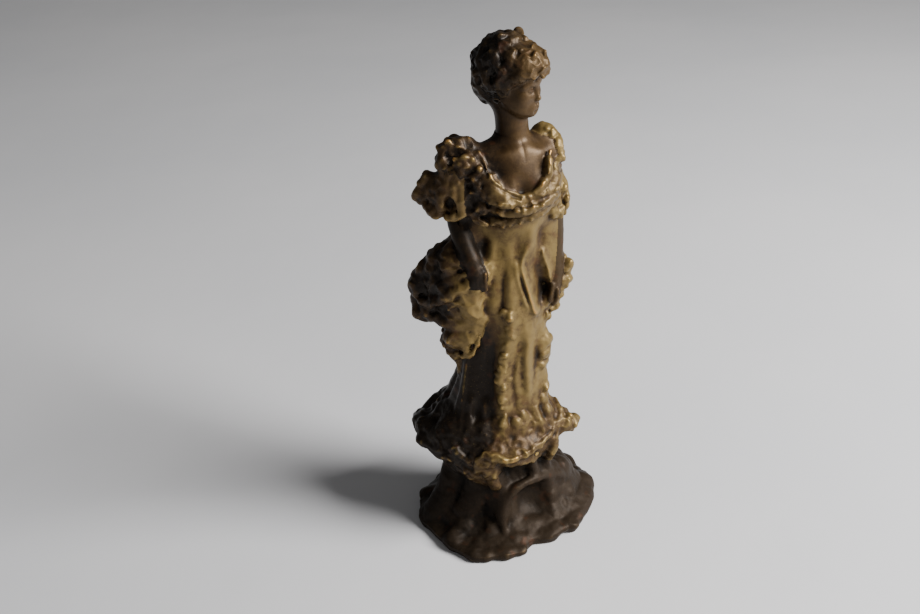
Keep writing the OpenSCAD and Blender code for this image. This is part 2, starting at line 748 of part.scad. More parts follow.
module tie_rod() color(steel) placed()
    translate([0, 0, rod_bottom]) cylinder(d = rod_dia, h = ledge_z + bridge_t + 3 - rod_bottom);

module tie_washer() color(steel) placed() difference() {
    translate([0, 0, pocket_z - washer_t]) cylinder(d = 2.6 * rod_dia, h = washer_t);
    cylinder(d = rod_dia + rod_gap, h = top_z);
}

module tie_nut() color(brass) placed() difference() {
    translate([0, 0, pocket_z - washer_t - nut_h])
        cylinder(d = 10 / 6 * rod_dia / cos(30), h = nut_h, $fn = 6);
    cylinder(d = rod_dia, h = top_z);
}

// ---------- nodes ----------

base_plate();
rock_mound();
hem_flounce();
skirt();
right_pannier();
left_pannier();
right_pannier_tail();
bodice();
bertha_collar();
bust();
head();
right_arm();
left_arm();
right_shoulder_bow();
left_shoulder_bow();
right_sleeve_ruffle();
left_sleeve_ruffle();
neck_pins();
bust_pins();
waist_pins();
arm_pins();
pannier_pins();
hem_pins();
mound_dowels();
bridge_bar();
tie_rod();
tie_nut();
tie_washer();
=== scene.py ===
import math
import time

import bpy
import numpy as np
import openvdb as vdb
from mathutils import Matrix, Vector


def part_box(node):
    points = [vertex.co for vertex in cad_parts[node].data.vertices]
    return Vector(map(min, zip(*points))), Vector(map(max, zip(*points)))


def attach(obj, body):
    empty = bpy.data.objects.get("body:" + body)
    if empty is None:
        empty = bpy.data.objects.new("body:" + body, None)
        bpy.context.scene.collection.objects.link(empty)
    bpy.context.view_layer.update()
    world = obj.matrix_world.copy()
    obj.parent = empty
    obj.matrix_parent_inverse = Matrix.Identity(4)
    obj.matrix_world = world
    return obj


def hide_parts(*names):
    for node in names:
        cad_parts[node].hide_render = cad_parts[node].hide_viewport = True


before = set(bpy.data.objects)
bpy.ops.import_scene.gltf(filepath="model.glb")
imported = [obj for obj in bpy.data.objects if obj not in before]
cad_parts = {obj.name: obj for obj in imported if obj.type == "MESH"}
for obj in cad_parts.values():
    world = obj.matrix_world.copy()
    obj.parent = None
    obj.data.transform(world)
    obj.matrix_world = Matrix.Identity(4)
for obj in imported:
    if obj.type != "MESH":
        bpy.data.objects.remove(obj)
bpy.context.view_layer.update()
began = time.time()


def say(stage):
    print(f"{time.time() - began:6.1f} s  {stage}")


# Heights of the joints in mm, and the tie rod's axis, which all the modelling is measured from
def level(node, end):
    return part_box(node)[end].z * 1000


seat = level("rock_mound", 0)
deck = level("skirt", 0)
waist = level("skirt", 1)
neckline = level("bodice", 1)
neck = level("bust", 1)
crown = level("head", 1)
rodAxis = np.array([*((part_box("tie_rod")[0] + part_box("tie_rod")[1]) * 500)[:2], 0.0])

quality = {
    "bodyCell": 0.42,   # mm between the clay's measuring points
    "headCell": 0.24,
}

# Pieces that share one skin, by the number that marks them in the clay
pieceNames = [
    "", "base_plate", "rock_mound", "hem_flounce", "skirt", "bodice", "bust", "bertha_collar",
    "right_arm", "left_arm", "right_shoulder_bow", "left_shoulder_bow", "right_sleeve_ruffle",
    "left_sleeve_ruffle", "right_pannier", "left_pannier", "right_pannier_tail", "head", "hair",
]
mark = {name: k for k, name in enumerate(pieceNames)}


# ---- clay: a distance field that is built up, carved and then skinned ----

def turn(x, y, degrees):
    c, s = math.cos(math.radians(degrees)), math.sin(math.radians(degrees))
    return x * c - y * s, x * s + y * c


def smoothPath(rows, spacing=1.2):  # a curve through the rows, all columns carried along
    p = np.array(rows, float)
    if len(p) < 2:
        return np.vstack([p, p])
    ends = np.vstack([2 * p[0] - p[1], p, 2 * p[-1] - p[-2]])
    out = []
    for a, b, c, d in zip(ends[:-3], ends[1:-2], ends[2:-1], ends[3:]):
        n = max(2, int(np.linalg.norm((c - b)[:3]) / spacing))
        for t in np.arange(n) / n:
            out.append(0.5 * (2 * b + (c - a) * t + (2 * a - 5 * b + 4 * c - d) * t * t
                              + (3 * b - a - 3 * c + d) * t ** 3))
    out.append(p[-1])
    return np.array(out)


def blur(a, cells):  # a box blur along each axis
    for axis in range(3):
        n = a.shape[axis]
        total = np.cumsum(a, axis=axis, dtype=np.float64 if n > 900 else np.float32)
        high = np.minimum(np.arange(n) + cells, n - 1)
        low = np.arange(n) - cells - 1
        upper = np.take(total, high, axis=axis)
        lower = np.take(total, np.maximum(low, 0), axis=axis)
        shape = [1, 1, 1]
        shape[axis] = n
        keep = (low >= 0).astype(np.float32).reshape(shape)
        count = (high - np.maximum(low, -1)).astype(np.float32).reshape(shape)
        a = (upper - lower * keep) / count
    return a.astype(np.float32)


class Clay:
    def __init__(self, low, high, step):
        self.low = np.array(low, float)
        self.step = step
        self.size = [int(math.ceil((h - l) / step)) + 1 for l, h in zip(low, high)]
        self.field = np.full(self.size, 6.0, np.float32)
        self.owner = np.zeros(self.size, np.uint8)

    def part(self, low, high):  # the cells between two corners, and their coordinates
        first = [max(0, int((low[k] - self.low[k]) / self.step)) for k in range(3)]
        last = [min(self.size[k], int((high[k] - self.low[k]) / self.step) + 2) for k in range(3)]
        if any(a >= b for a, b in zip(first, last)):
            return None
        axes = [(self.low[k] + self.step * np.arange(first[k],
                                                     last[k])).astype(np.float32) for k in range(3)]
        return (tuple(slice(a, b) for a, b in zip(first, last)),
                axes[0][:, None, None], axes[1][None, :, None], axes[2][None, None, :])

    def join(self, cells, d, owner, soft):
        f = self.field[cells]
        near = np.maximum(soft - np.abs(f - d), 0) / max(soft, 1e-6)
        self.owner[cells][d < f] = owner
        self.field[cells] = np.minimum(f, d) - near * near * soft * 0.25

    def carve(self, cells, d, soft):
        f = self.field[cells]
        near = np.maximum(soft - np.abs(f + d), 0) / max(soft, 1e-6)
        self.field[cells] = np.maximum(f, -d) + near * near * soft * 0.25

    def ropes(self, paths, owner, soft=1.2, hollow=False, spacing=1.2):  # rows of x, y, z, radius
        paths = [smoothPath(p, spacing) for p in paths]
        rows = np.vstack(paths)
        margin = max(soft, 1.5) + 1
        found = self.part((rows[:, :3] - rows[:, 3:]).min(0) - margin,
                          (rows[:, :3] + rows[:, 3:]).max(0) + margin)
        if not found:
            return
        cells, x, y, z = found
        block = np.full((x.shape[0], y.shape[1], z.shape[2]), 99.0, np.float32)
        start = np.array([x[0, 0, 0], y[0, 0, 0], z[0, 0, 0]])
        for path in paths:
            for a, b in zip(path[:-1], path[1:]):
                reach = max(a[3], b[3]) + margin
                i = np.maximum(((np.minimum(a, b)[:3] - reach - start) / self.step).astype(int), 0)
                j = ((np.maximum(a, b)[:3] + reach - start) / self.step).astype(int) + 2
                sub = tuple(slice(p, max(p, q)) for p, q in zip(i, j))
                px, py, pz = x[sub[0]] - a[0], y[:, sub[1]] - a[1], z[:, :, sub[2]] - a[2]
                ab = (b - a)[:3]
                t = np.clip((px * ab[0] + py * ab[1] + pz * ab[2]) / max(ab @ ab, 1e-9), 0, 1)
                d = np.sqrt((px - t * ab[0]) ** 2 + (py - t * ab[1]) ** 2 + (pz - t * ab[2]) ** 2)
                block[sub] = np.minimum(block[sub], d - (a[3] + t * (b[3] - a[3])))
        if hollow:
            self.carve(cells, block, soft)
        else:
            self.join(cells, block, owner, soft)

    def rope(self, path, owner, soft=1.2, hollow=False):
        self.ropes([path], owner, soft, hollow)

    def blob(self, at, radii, owner, soft=1.2, yaw=0.0, lean=0.0, hollow=False):
        radii = np.array(radii, float) * np.ones(3)
        reach = radii.max() + max(soft, 1.5) + 1
        found = self.part(np.array(at) - reach, np.array(at) + reach)
        if not found:
            return
        cells, x, y, z = found
        u, v = turn(x - at[0], y - at[1], -yaw)
        u, w = turn(u, z - at[2] + 0 * u, -lean)
        v = v + 0 * w
        k0 = np.sqrt((u / radii[0]) ** 2 + (v / radii[1]) ** 2 + (w / radii[2]) ** 2)
        k1 = np.sqrt((u / radii[0] ** 2) ** 2 + (v / radii[1] ** 2) ** 2 + (w / radii[2] ** 2) ** 2)
        d = k0 * (k0 - 1) / np.maximum(k1, 1e-6)
        if hollow:
            self.carve(cells, d, soft)
        else:
            self.join(cells, d, owner, soft)

    def loft(self, stations, owner, soft=0.0, fold=None):  # rows of z, centre x, y, radius x, y, turn
        rows = smoothPath([[s[1], s[2], s[0], *s[3:]] for s in stations], 1.0)
        reach = rows[:, 3:5].max() * 1.25 + 3 + soft
        zLow, zHigh = rows[0, 2], rows[-1, 2]
        cells, x, y, z = self.part([rows[:, 0].min() - reach, rows[:, 1].min() - reach, zLow - 3 - soft],
                                   [rows[:, 0].max() + reach, rows[:, 1].max() + reach, zHigh + 3 + soft])
        cx, cy, rx, ry, yaw = [np.interp(z, rows[:, 2], rows[:, k]).astype(np.float32) for k in (0, 1, 3, 4,
                5)]
        c, s = np.cos(np.radians(yaw)), np.sin(np.radians(yaw))
        u = ((x - cx) * c + (y - cy) * s) / rx
        v = (-(x - cx) * s + (y - cy) * c) / ry
        q = np.sqrt(u * u + v * v)
        shape = 1.0 if fold is None else 1 + fold(np.arctan2(v, u), z)
        f = (q - shape) * np.sqrt(rx * ry)
        slope = np.sqrt(sum(g * g for g in np.gradient(f, self.step)))
        f = f / np.clip(slope, 0.7, 3)
        over, under = z - zHigh, zLow - z
        f = np.maximum(f, np.maximum(over, under))
        self.join(cells, f, owner, soft)

    def land(self, spots, side, sink=0.0):  # drops spots on to the clay from one side
        out = []
        for a, b in spots:
            if side in ("front", "back"):
                i, k = int((a - self.low[0]) / self.step), int((b - self.low[2]) / self.step)
                line, base, sign = self.field[i, :, k], self.low[1], 1 if side == "front" else -1
            else:
                i, k = int((a - self.low[1]) / self.step), int((b - self.low[2]) / self.step)
                line, base, sign = self.field[:, i, k], self.low[0], 1 if side == "right" else -1
            inside = np.nonzero(line < 0)[0]
            if len(inside) == 0:
                at = 0.0
            else:
                n = inside[0] if sign == 1 else inside[-1]
                at = base + self.step * (n - sign * line[n] / (line[n] - line[n - sign] - 1e-6))
            at += sign * sink
            out.append((a, at, b) if side in ("front", "back") else (at, a, b))
        return out

    def drape(self, spots, radius, owner, side="front", sink=0.4, soft=1.2, hollow=False,
              ends=(0.22, 0.22)):
        # a fold, or a groove, that follows the clay and fades at its ends; a third number is a radius
        widths = [s[2] if len(s) > 2 else radius for s in spots]
        dense = smoothPath([[s[0], s[1], 0, w] for s, w in zip(spots, widths)], 1.5)
        landed = self.land([(r[0], r[1]) for r in dense], side)
        v = np.array([p[1] if side in ("front", "back") else p[0] for p in landed])
        for _ in range(3):  # evens out small jumps along the fold
            v = np.convolve(np.pad(v, 1, "edge"), [0.25, 0.5, 0.25], "valid")
        s = np.linspace(0, 1, len(dense))
        fade = np.ones(len(dense))
        for end, share in zip((s, 1 - s), ends):
            if share:
                t = np.clip(end / share, 0, 1)
                fade *= t * t * (3 - 2 * t)
        sign = (1 if side in ("front", "right") else -1)
        rows = []
        for r, at, f in zip(dense, v, fade):
            lie = sink * r[3] + (1 - f) * r[3] * (-1.0 if hollow else 0.9)
            at = at + sign * lie
            rows.append([r[0], at, r[1], r[3]] if side in ("front", "back") else [at, r[0], r[1], r[3]])
        self.rope(rows, owner, soft, hollow)

    def ruck(self, spots, height, width, side="front", ends=(0.25, 0.25), middle=2.0):
        # swells the clay along a line seen from one side, or presses it in; a third number scales it
        dense = smoothPath([[s[0], s[1], 0, s[2] if len(s) > 2 else 1.0] for s in spots], 1.2)
        s = np.linspace(0, 1, len(dense))
        for end, share in zip((s, 1 - s), ends):
            if share:
                t = np.clip(end / share, 0, 1)
                dense[:, 3] *= t * t * (3 - 2 * t)
        flat = side in ("front", "back")
        low, high = dense[:, :2].min(0) - 2.4 * width, dense[:, :2].max(0) + 2.4 * width
        corners = [([c[0], v, c[1]] if flat else [v, c[0], c[1]]) for c, v in ((low, -60), (high, 60))]
        cells, x, y, z = self.part(*corners)
        across, deep = (x, y) if flat else (y, x)
        u, w = across.reshape(-1, 1), z.reshape(1, -1)
        best = np.full((u.shape[0], w.shape[1]), 99.0, np.float32)
        weight = np.zeros_like(best)
        for a, b in zip(dense[:-1], dense[1:]):
            ab = (b - a)[:2]
            t = np.clip(((u - a[0]) * ab[0] + (w - a[1]) * ab[1]) / max(ab @ ab, 1e-9), 0, 1)
            d = np.hypot(u - a[0] - t * ab[0], w - a[1] - t * ab[1])
            closer = d < best
            best[closer] = d[closer]
            weight[closer] = (a[3] + t * (b[3] - a[3]))[closer]
        lift = (height * weight * np.exp(-(best / width) ** 2)).astype(np.float32)
        sign = -1 if side in ("front", "right") else 1
        share = np.clip((deep - middle) * sign / 7, 0, 1)
        self.field[cells] -= (lift[:, None, :] if flat else lift[None, :, :]) * share

    def hug(self, p, below, rounds=3):  # moves a spot on to the skin of the clay, or below it
        for _ in range(rounds):
            around = np.array([p, p + [0.6, 0, 0], p - [0.6, 0, 0], p + [0, 0.6, 0], p - [0, 0.6, 0],
                               p + [0, 0, 0.6], p - [0, 0, 0.6]])
            f = self.sample(self.field, around)
            slope = np.array([f[1] - f[2], f[3] - f[4], f[5] - f[6]]) / 1.2
            size = np.linalg.norm(slope)
            if size < 0.2:
                return None
            p = p - slope / size * np.clip(f[0] + below, -2, 4)
        return p

    def pebbles(self, path, count, sizes, scatter, seed, owner, soft=1.0, sink=0.4):
        # lumps pressed on along a path
        rng = np.random.default_rng(seed)
        rows = smoothPath(path, 1.0)
        for _ in range(count):
            row = rows[rng.integers(len(rows))]
            at = row[:3] + rng.normal(0, 1, 3) * scatter
            size = rng.uniform(*sizes)
            shape, yaw, lean = size * rng.uniform(0.75, 1.35, 3), rng.uniform(0, 180), rng.uniform(-40, 40)
            at = self.hug(at, size * sink)
            if at is not None:
                self.blob(at, shape, owner, soft, yaw=yaw, lean=lean)

    def frill(self, path, sway, waves, owner, seed=0, soft=0.8, centre=(0, 0)):
        # a ruffled edge along a path
        rng = np.random.default_rng(seed)
        rows = smoothPath(path, 0.7)
        s = np.linspace(0, 1, len(rows))
        phase = np.cumsum(rng.uniform(0.6, 1.4, len(rows)))
        phase = phase / phase[-1] * waves * 2 * math.pi
        out = rows[:, :2] - np.array(centre)
        out = out / np.maximum(np.linalg.norm(out, axis=1, keepdims=True), 1e-6)
        rows[:, :2] += out * (np.sin(phase) * sway)[:, None]
        rows[:, 2] += np.cos(phase * 0.5 + s * 3) * sway * 0.5
        self.ropes([rows], owner, soft, spacing=0.9)

    def lumps(self, size, seed):  # smooth random relief of one size, over the whole block
        rng = np.random.default_rng(seed)
        weights = []
        for k in range(3):
            t = np.arange(self.size[k]) * self.step / size
            i = t.astype(int)
            f = t - i
            w = np.zeros((self.size[k], i[-1] + 4), np.float32)
            spline = [(1 - f) ** 3 / 6, (3 * f ** 3 - 6 * f * f + 4) / 6,
                      (-3 * f ** 3 + 3 * f * f + 3 * f + 1) / 6, f ** 3 / 6]
            for n, b in enumerate(spline):
                w[np.arange(len(t)), i + n] = b
            weights.append(w)
        lattice = rng.standard_normal([w.shape[1] for w in weights]).astype(np.float32)
        out = np.tensordot(weights[0], lattice, (1, 0))
        out = np.einsum("jb,ibc->ijc", weights[1], out, optimize=True)
        return np.einsum("kc,ijc->ijk", weights[2], out, optimize=True) * 2.6

    def roughen(self, reliefs):  # relief by size, each with its own depth for each piece
        for size, seed, billow, depths in reliefs:
            table = np.array([depths.get(n, 0.0) for n in pieceNames], np.float32)
            depth = blur(table[self.owner], max(1, int(1.0 / self.step)))
            relief = self.lumps(size, seed)
            if billow:
                relief = 1.0 - 1.6 * np.abs(relief)
            self.field -= depth * relief * (np.abs(self.field) < 3)

    def fill(self, reach, share):  # stops up pits and slits that are narrower than the reach
        solid = (self.field < 0).astype(np.float32)
        cells = max(1, int(reach / self.step / 2))
        near = blur(blur(solid, cells), cells)
        self.field = np.minimum(self.field, (share - near) * reach * 1.6)

    def sample(self, a, points):  # value of a field between its cells
        g = (points - self.low) / self.step
        g = np.clip(g, 0, np.array(self.size) - 1.001)
        i = g.astype(int)
        f = (g - i).astype(np.float32)
        out = 0
        for dx in (0, 1):
            for dy in (0, 1):
                for dz in (0, 1):
                    w = ((f[:, 0] if dx else 1 - f[:, 0]) * (f[:, 1] if dy else 1 - f[:, 1])
                         * (f[:, 2] if dz else 1 - f[:, 2]))
                    out = out + w * a[i[:, 0] + dx, i[:, 1] + dy, i[:, 2] + dz]
        return out


class Tool:  # works the clay of one piece, with heights measured from one joint
    def __init__(self, clay, name, base=0.0):
        self.clay, self.owner, self.base = clay, mark[name], base

    def up(self, rows):
        return [(r[0], r[1], self.base + r[2], *r[3:]) for r in rows]

    def ropes(self, paths, soft=1.2, hollow=False):
        self.clay.ropes([self.up(p) for p in paths], self.owner, soft, hollow)

    def rope(self, path, soft=1.2, hollow=False):
        self.ropes([path], soft, hollow)

    def blob(self, at, radii, soft=1.2, **more):
        self.clay.blob(self.up([at])[0], radii, self.owner, soft, **more)

    def loft(self, stations, soft=0.0, fold=None):  # heights of the stations stay as they are given
        self.clay.loft(stations, self.owner, soft, fold)

    def drape(self, spots, radius, **more):
        self.clay.drape([(s[0], self.base + s[1], *s[2:]) for s in spots], radius, self.owner, **more)

    def pebbles(self, path, count, sizes, scatter, seed, soft=1.0, sink=0.4):
        self.clay.pebbles(self.up(path), count, sizes, scatter, seed, self.owner, soft, sink)

    def frill(self, path, sway, waves, seed=0, soft=0.8, centre=(0, 0)):
        self.clay.frill(self.up(path), sway, waves, self.owner, seed, soft, centre)


# ---- skinning: one surface, shared out to the pieces ----

# mm within which a spot counts as a convex edge, a broad swelling, and deep among its surroundings
wearSizes = {"edge": 0.9, "swell": 3.0, "depth": 5.0}


def skin(clay):
    grid = vdb.FloatGrid(2.0)
    grid.copyFromArray(np.clip(clay.field, -2, 2))
    points, _, quads = grid.convertToPolygons(isovalue=0.0, adaptivity=0.0)
    quads = quads.astype(np.int64)
    points = points.astype(np.float64) * clay.step + clay.low
    a, b, c, d = [points[quads[:, k]] for k in range(4)]
    face = np.cross(c - a, d - b)
    middle = (a + b + c + d) / 4
    slopes = [np.gradient(clay.field, clay.step, axis=k) for k in range(3)]
    normals = np.stack([clay.sample(g, points) for g in slopes], 1)
    normals /= np.maximum(np.linalg.norm(normals, axis=1, keepdims=True), 1e-9)
    if (face * normals[quads[:, 0]]).sum() < 0:
        quads = quads[:, ::-1]
    fine = max(1, int(wearSizes["edge"] / clay.step))
    broad = max(2, int(wearSizes["swell"] / clay.step))
    body = np.clip(clay.field, -4, 4)
    edge = clay.sample(blur(blur(body, fine), fine) - body, points) / wearSizes["edge"] ** 2
    swell = clay.sample(blur(blur(body, broad), broad) - body, points) / wearSizes["swell"]
    filled = (clay.field < 0).astype(np.float32)
    wide = max(2, int(wearSizes["depth"] / clay.step))
    depth = clay.sample(blur(blur(filled, wide), wide), points + normals * 1.0)
    owner = clay.owner[tuple(np.clip(((middle - normals[quads[:,
                                                              0]] * 0.5 - clay.low) / clay.step
                                      + 0.5).astype(int),
                                     0, np.array(clay.size) - 1).T)].astype(np.int64)
    return {"points": points, "quads": quads, "normals": normals, "owner": owner,
            "edge": edge, "swell": swell, "depth": depth}


def settle(surface, rounds=4, least=250):  # evens out the borders between pieces and drops stray islands
    quads, owner = surface["quads"], surface["owner"]
    kinds = len(pieceNames)
    total = len(surface["points"])

    def tally(quads, owner):  # how many faces of each piece meet at each point
        votes = np.zeros((total, kinds), np.float32)
        for k in range(4):
            votes += np.bincount(quads[:, k] * kinds + owner, minlength=total * kinds).reshape(total, kinds)
        return votes

    for _ in range(rounds):
        votes = tally(quads, owner)
        owner = sum(votes[quads[:, k]] for k in range(4)).argmax(1)
    for _ in range(3):
        label = np.arange(len(quads))
        keys = [quads[:, k] * kinds + owner for k in range(4)]
        for _ in range(60):
            low = np.full(total * kinds, len(quads), np.int64)
            for key in keys:
                np.minimum.at(low, key, label)
            fresh = np.minimum.reduce([low[key] for key in keys])
            fresh = fresh[fresh]
            if (fresh == label).all():
                break
            label = fresh
        count = np.bincount(label, minlength=len(quads))[label]
        small = count < least
        if not small.any():
            break
        votes = tally(quads[~small], owner[~small])
        votes[:, 0] = -1
        score = sum(votes[quads[:, k]] for k in range(4))
        move = small & (score.max(1) > 0)
        owner = np.where(move, score.argmax(1), owner)
    surface["owner"] = owner


def closeLoops(faces, points, normals):  # fans inside the skin that close a piece's open borders
    a = faces.reshape(-1)
    b = np.roll(faces, -1, axis=1).reshape(-1)
    n = len(points)
    there = np.isin(a * n + b, b * n + a)
    follow = {}
    for p, q in zip(a[~there], b[~there]):
        follow.setdefault(int(p), []).append(int(q))
    extra, fans = [], []
    while follow:
        first = next(iter(follow))
        loop = [first]
        while True:
            here = loop[-1]
            after = follow[here].pop()
            if not follow[here]:
                del follow[here]
            if after == first:
                break
            loop.append(after)
        # the border is first turned in under the skin, twice, and then drawn to a point
        ring, inward = points[loop], normals[loop]
        rows = [loop]
        size = np.linalg.norm(ring.max(0) - ring.min(0))
        for depth in (min(0.9, 0.08 * size), min(2.2, 0.16 * size)):
            ring, inward = [(np.roll(v, 1, 0) + 2 * v + np.roll(v, -1, 0)) / 4 for v in (ring, inward)]
            rows.append([n + len(extra) + k for k in range(len(loop))])
            extra.extend(ring - inward * depth)
        extra.append(ring.mean(0) - inward.mean(0) * min(3.0, 0.2 * size))
        tip = n + len(extra) - 1
        for k in range(len(loop)):
            j = (k + 1) % len(loop)
            for outer, inner in zip(rows[:-1], rows[1:]):
                fans += [(outer[j], outer[k], inner[k]), (outer[j], inner[k], inner[j])]
            fans.append((rows[-1][j], rows[-1][k], tip))
    return extra, fans


def cutOut(surface, name, keep=None):  # one piece of the skin, as a closed mesh
    chosen = surface["owner"] == mark[name]
    if keep is not None:
        chosen &= keep
    quads = surface["quads"][chosen]
    used, flat = np.unique(quads, return_inverse=True)
    quads = flat.reshape(-1, 4)
    points, normals = surface["points"][used], surface["normals"][used]
    extra, fans = closeLoops(quads, points, normals)
    columns = {k: surface[k][used] for k in ("edge", "swell", "depth")}
    if extra:
        points = np.vstack([points, extra])
        normals = np.vstack([normals, np.tile([0, 0, 1.0], (len(extra), 1))])
        columns = {k: np.concatenate([v, np.zeros(len(extra))]) for k, v in columns.items()}
    mesh = bpy.data.meshes.new(name)
    mesh.vertices.add(len(points))
    mesh.vertices.foreach_set("co", ((points + rodAxis) / 1000).astype(np.float32).ravel())
    fans = np.array(fans, int).reshape(-1, 3)
    corners = np.concatenate([quads.ravel(), fans.ravel()])
    mesh.loops.add(len(corners))
    mesh.loops.foreach_set("vertex_index", corners.astype(np.int32))
    starts = np.concatenate([np.arange(len(quads)) * 4, len(quads) * 4 + np.arange(len(fans)) * 3])
    mesh.polygons.add(len(starts))
    mesh.polygons.foreach_set("loop_start", starts.astype(np.int32))
    mesh.polygons.foreach_set("use_smooth", np.ones(len(starts), bool))
    mesh.update(calc_edges=True)
    mesh.validate()
    for key, values in columns.items():
        mesh.attributes.new(key, "FLOAT", "POINT").data.foreach_set("value", values.astype(np.float32))
    mesh.normals_split_custom_set_from_vertices(normals.astype(np.float32))
    piece = bpy.data.objects.new(name, mesh)
    bpy.context.scene.collection.objects.link(piece)
    print(f"         {name}: {len(quads) * 2 + len(fans)} triangles, {len(extra)} borders")
    return piece


# ---- base plate and mound ----

plateSizes = {
    "centre": (1.5, 3.0),
    "radius": (46.0, 49.0),
    "lobes": [(1, 0.03, 140), (2, 0.13, 102), (3, 0.015, 215), (4, 0.015, 335), (5, 0.02, 195),
              (9, 0.012, 60)],
    "rim": 4.4,
    "edgeRound": 2.4,
}


def makePlate(clay):
    p = plateSizes
    tool = Tool(clay, "base_plate")
    cells, x, y, z = clay.part([-60, -60, -5], [60, 70, seat + 12])
    u, v = (x - p["centre"][0]) / p["radius"][0], (y - p["centre"][1]) / p["radius"][1]
    angle = np.arctan2(v, u)
    rim = 0.925 + sum(k * np.cos(n * angle - math.radians(t)) for n, k, t in p["lobes"])
    rim = rim + 0.010 * np.cos(14 * angle + 1.0) + 0.006 * np.cos(23 * angle)
    out = (np.sqrt(u * u + v * v) - rim) * p["radius"][0] / 1.02
    rise = np.clip((-out - 1) / 26, 0, 1)
    top = p["rim"] + 0.35 * np.cos(3 * angle + 0.5) + (seat - p["rim"] + 1.8) * rise ** 1.4
    h = np.clip((p["edgeRound"] + out) / p["edgeRound"], 0, 1)
    low = np.clip(1 - (z - 0.4) / 1.4, 0, 1)
    d = np.maximum(out + 0.9 * low * low, z - top + h * h * 1.1)
    d = np.maximum(d, 0.2 - z)
    clay.join(cells, d.astype(np.float32), tool.owner, 0)
    # a bay in the front rim with a raised lip beside it, and a thicker lobe to the right
    tool.blob((20, -35.5, 3), (8.5, 6, 8), 2.5, hollow=True)
    tool.ropes([[(6, -32.5, 4.0, 1.3), (11, -29.6, 4.6, 1.5), (15, -26, 4.9, 1.6), (22, -25, 4.2, 1.5),
                 (30, -21.5, 3.8, 1.6)]], 2.5)
    tool.ropes([[(33, -17, 3.0, 2.6), (40, -5, 3.0, 2.8), (43, 9, 2.9, 2.8), (41, 24, 2.8, 2.7)]], 3.0)
    # lumps left by the modelling tool along the rim and over the top
    rimX, rimY = [0.93 * r for r in p["radius"]]
    around = [(rimX * math.cos(t) + p["centre"][0], rimY * math.sin(t) + p["centre"][1], 3.2)
              for t in np.linspace(0, 2 * math.pi, 30)]
    tool.pebbles(around, 34, (1.8, 3.8), 1.2, seed=11, soft=3.0, sink=0.85)
    tool.pebbles([(-34, -8, 5), (-28, -26, 5), (-8, -34, 5), (16, -26, 5)], 14, (1.8, 3.6), 4.0, seed=13,
                 soft=2.8, sink=0.95)
    tool.pebbles([(-30, 14, 5), (-18, 36, 5), (16, 38, 5), (34, 22, 5)], 18, (1.8, 3.8), 4.0, seed=14,
                 soft=2.8, sink=0.92)


moundSizes = {
    # height over the seat, centre, radii, turn
    "stations": [(-3, -1.0, 3, 37, 33, 0), (1.5, -1.2, 2.5, 33, 29, 0), (5, -1.4, 2, 30, 26, 0),
                 (10, -1.6, 2, 27.2, 23, 5),
                 (18, -2.2, 2, 25.2, 20.6, 8), (27, -4, 1.5, 25, 20.2, 6), (35, -6.0, 1, 26, 21, 0),
                 (44, -6.5, 1, 25, 20, 0)],
}


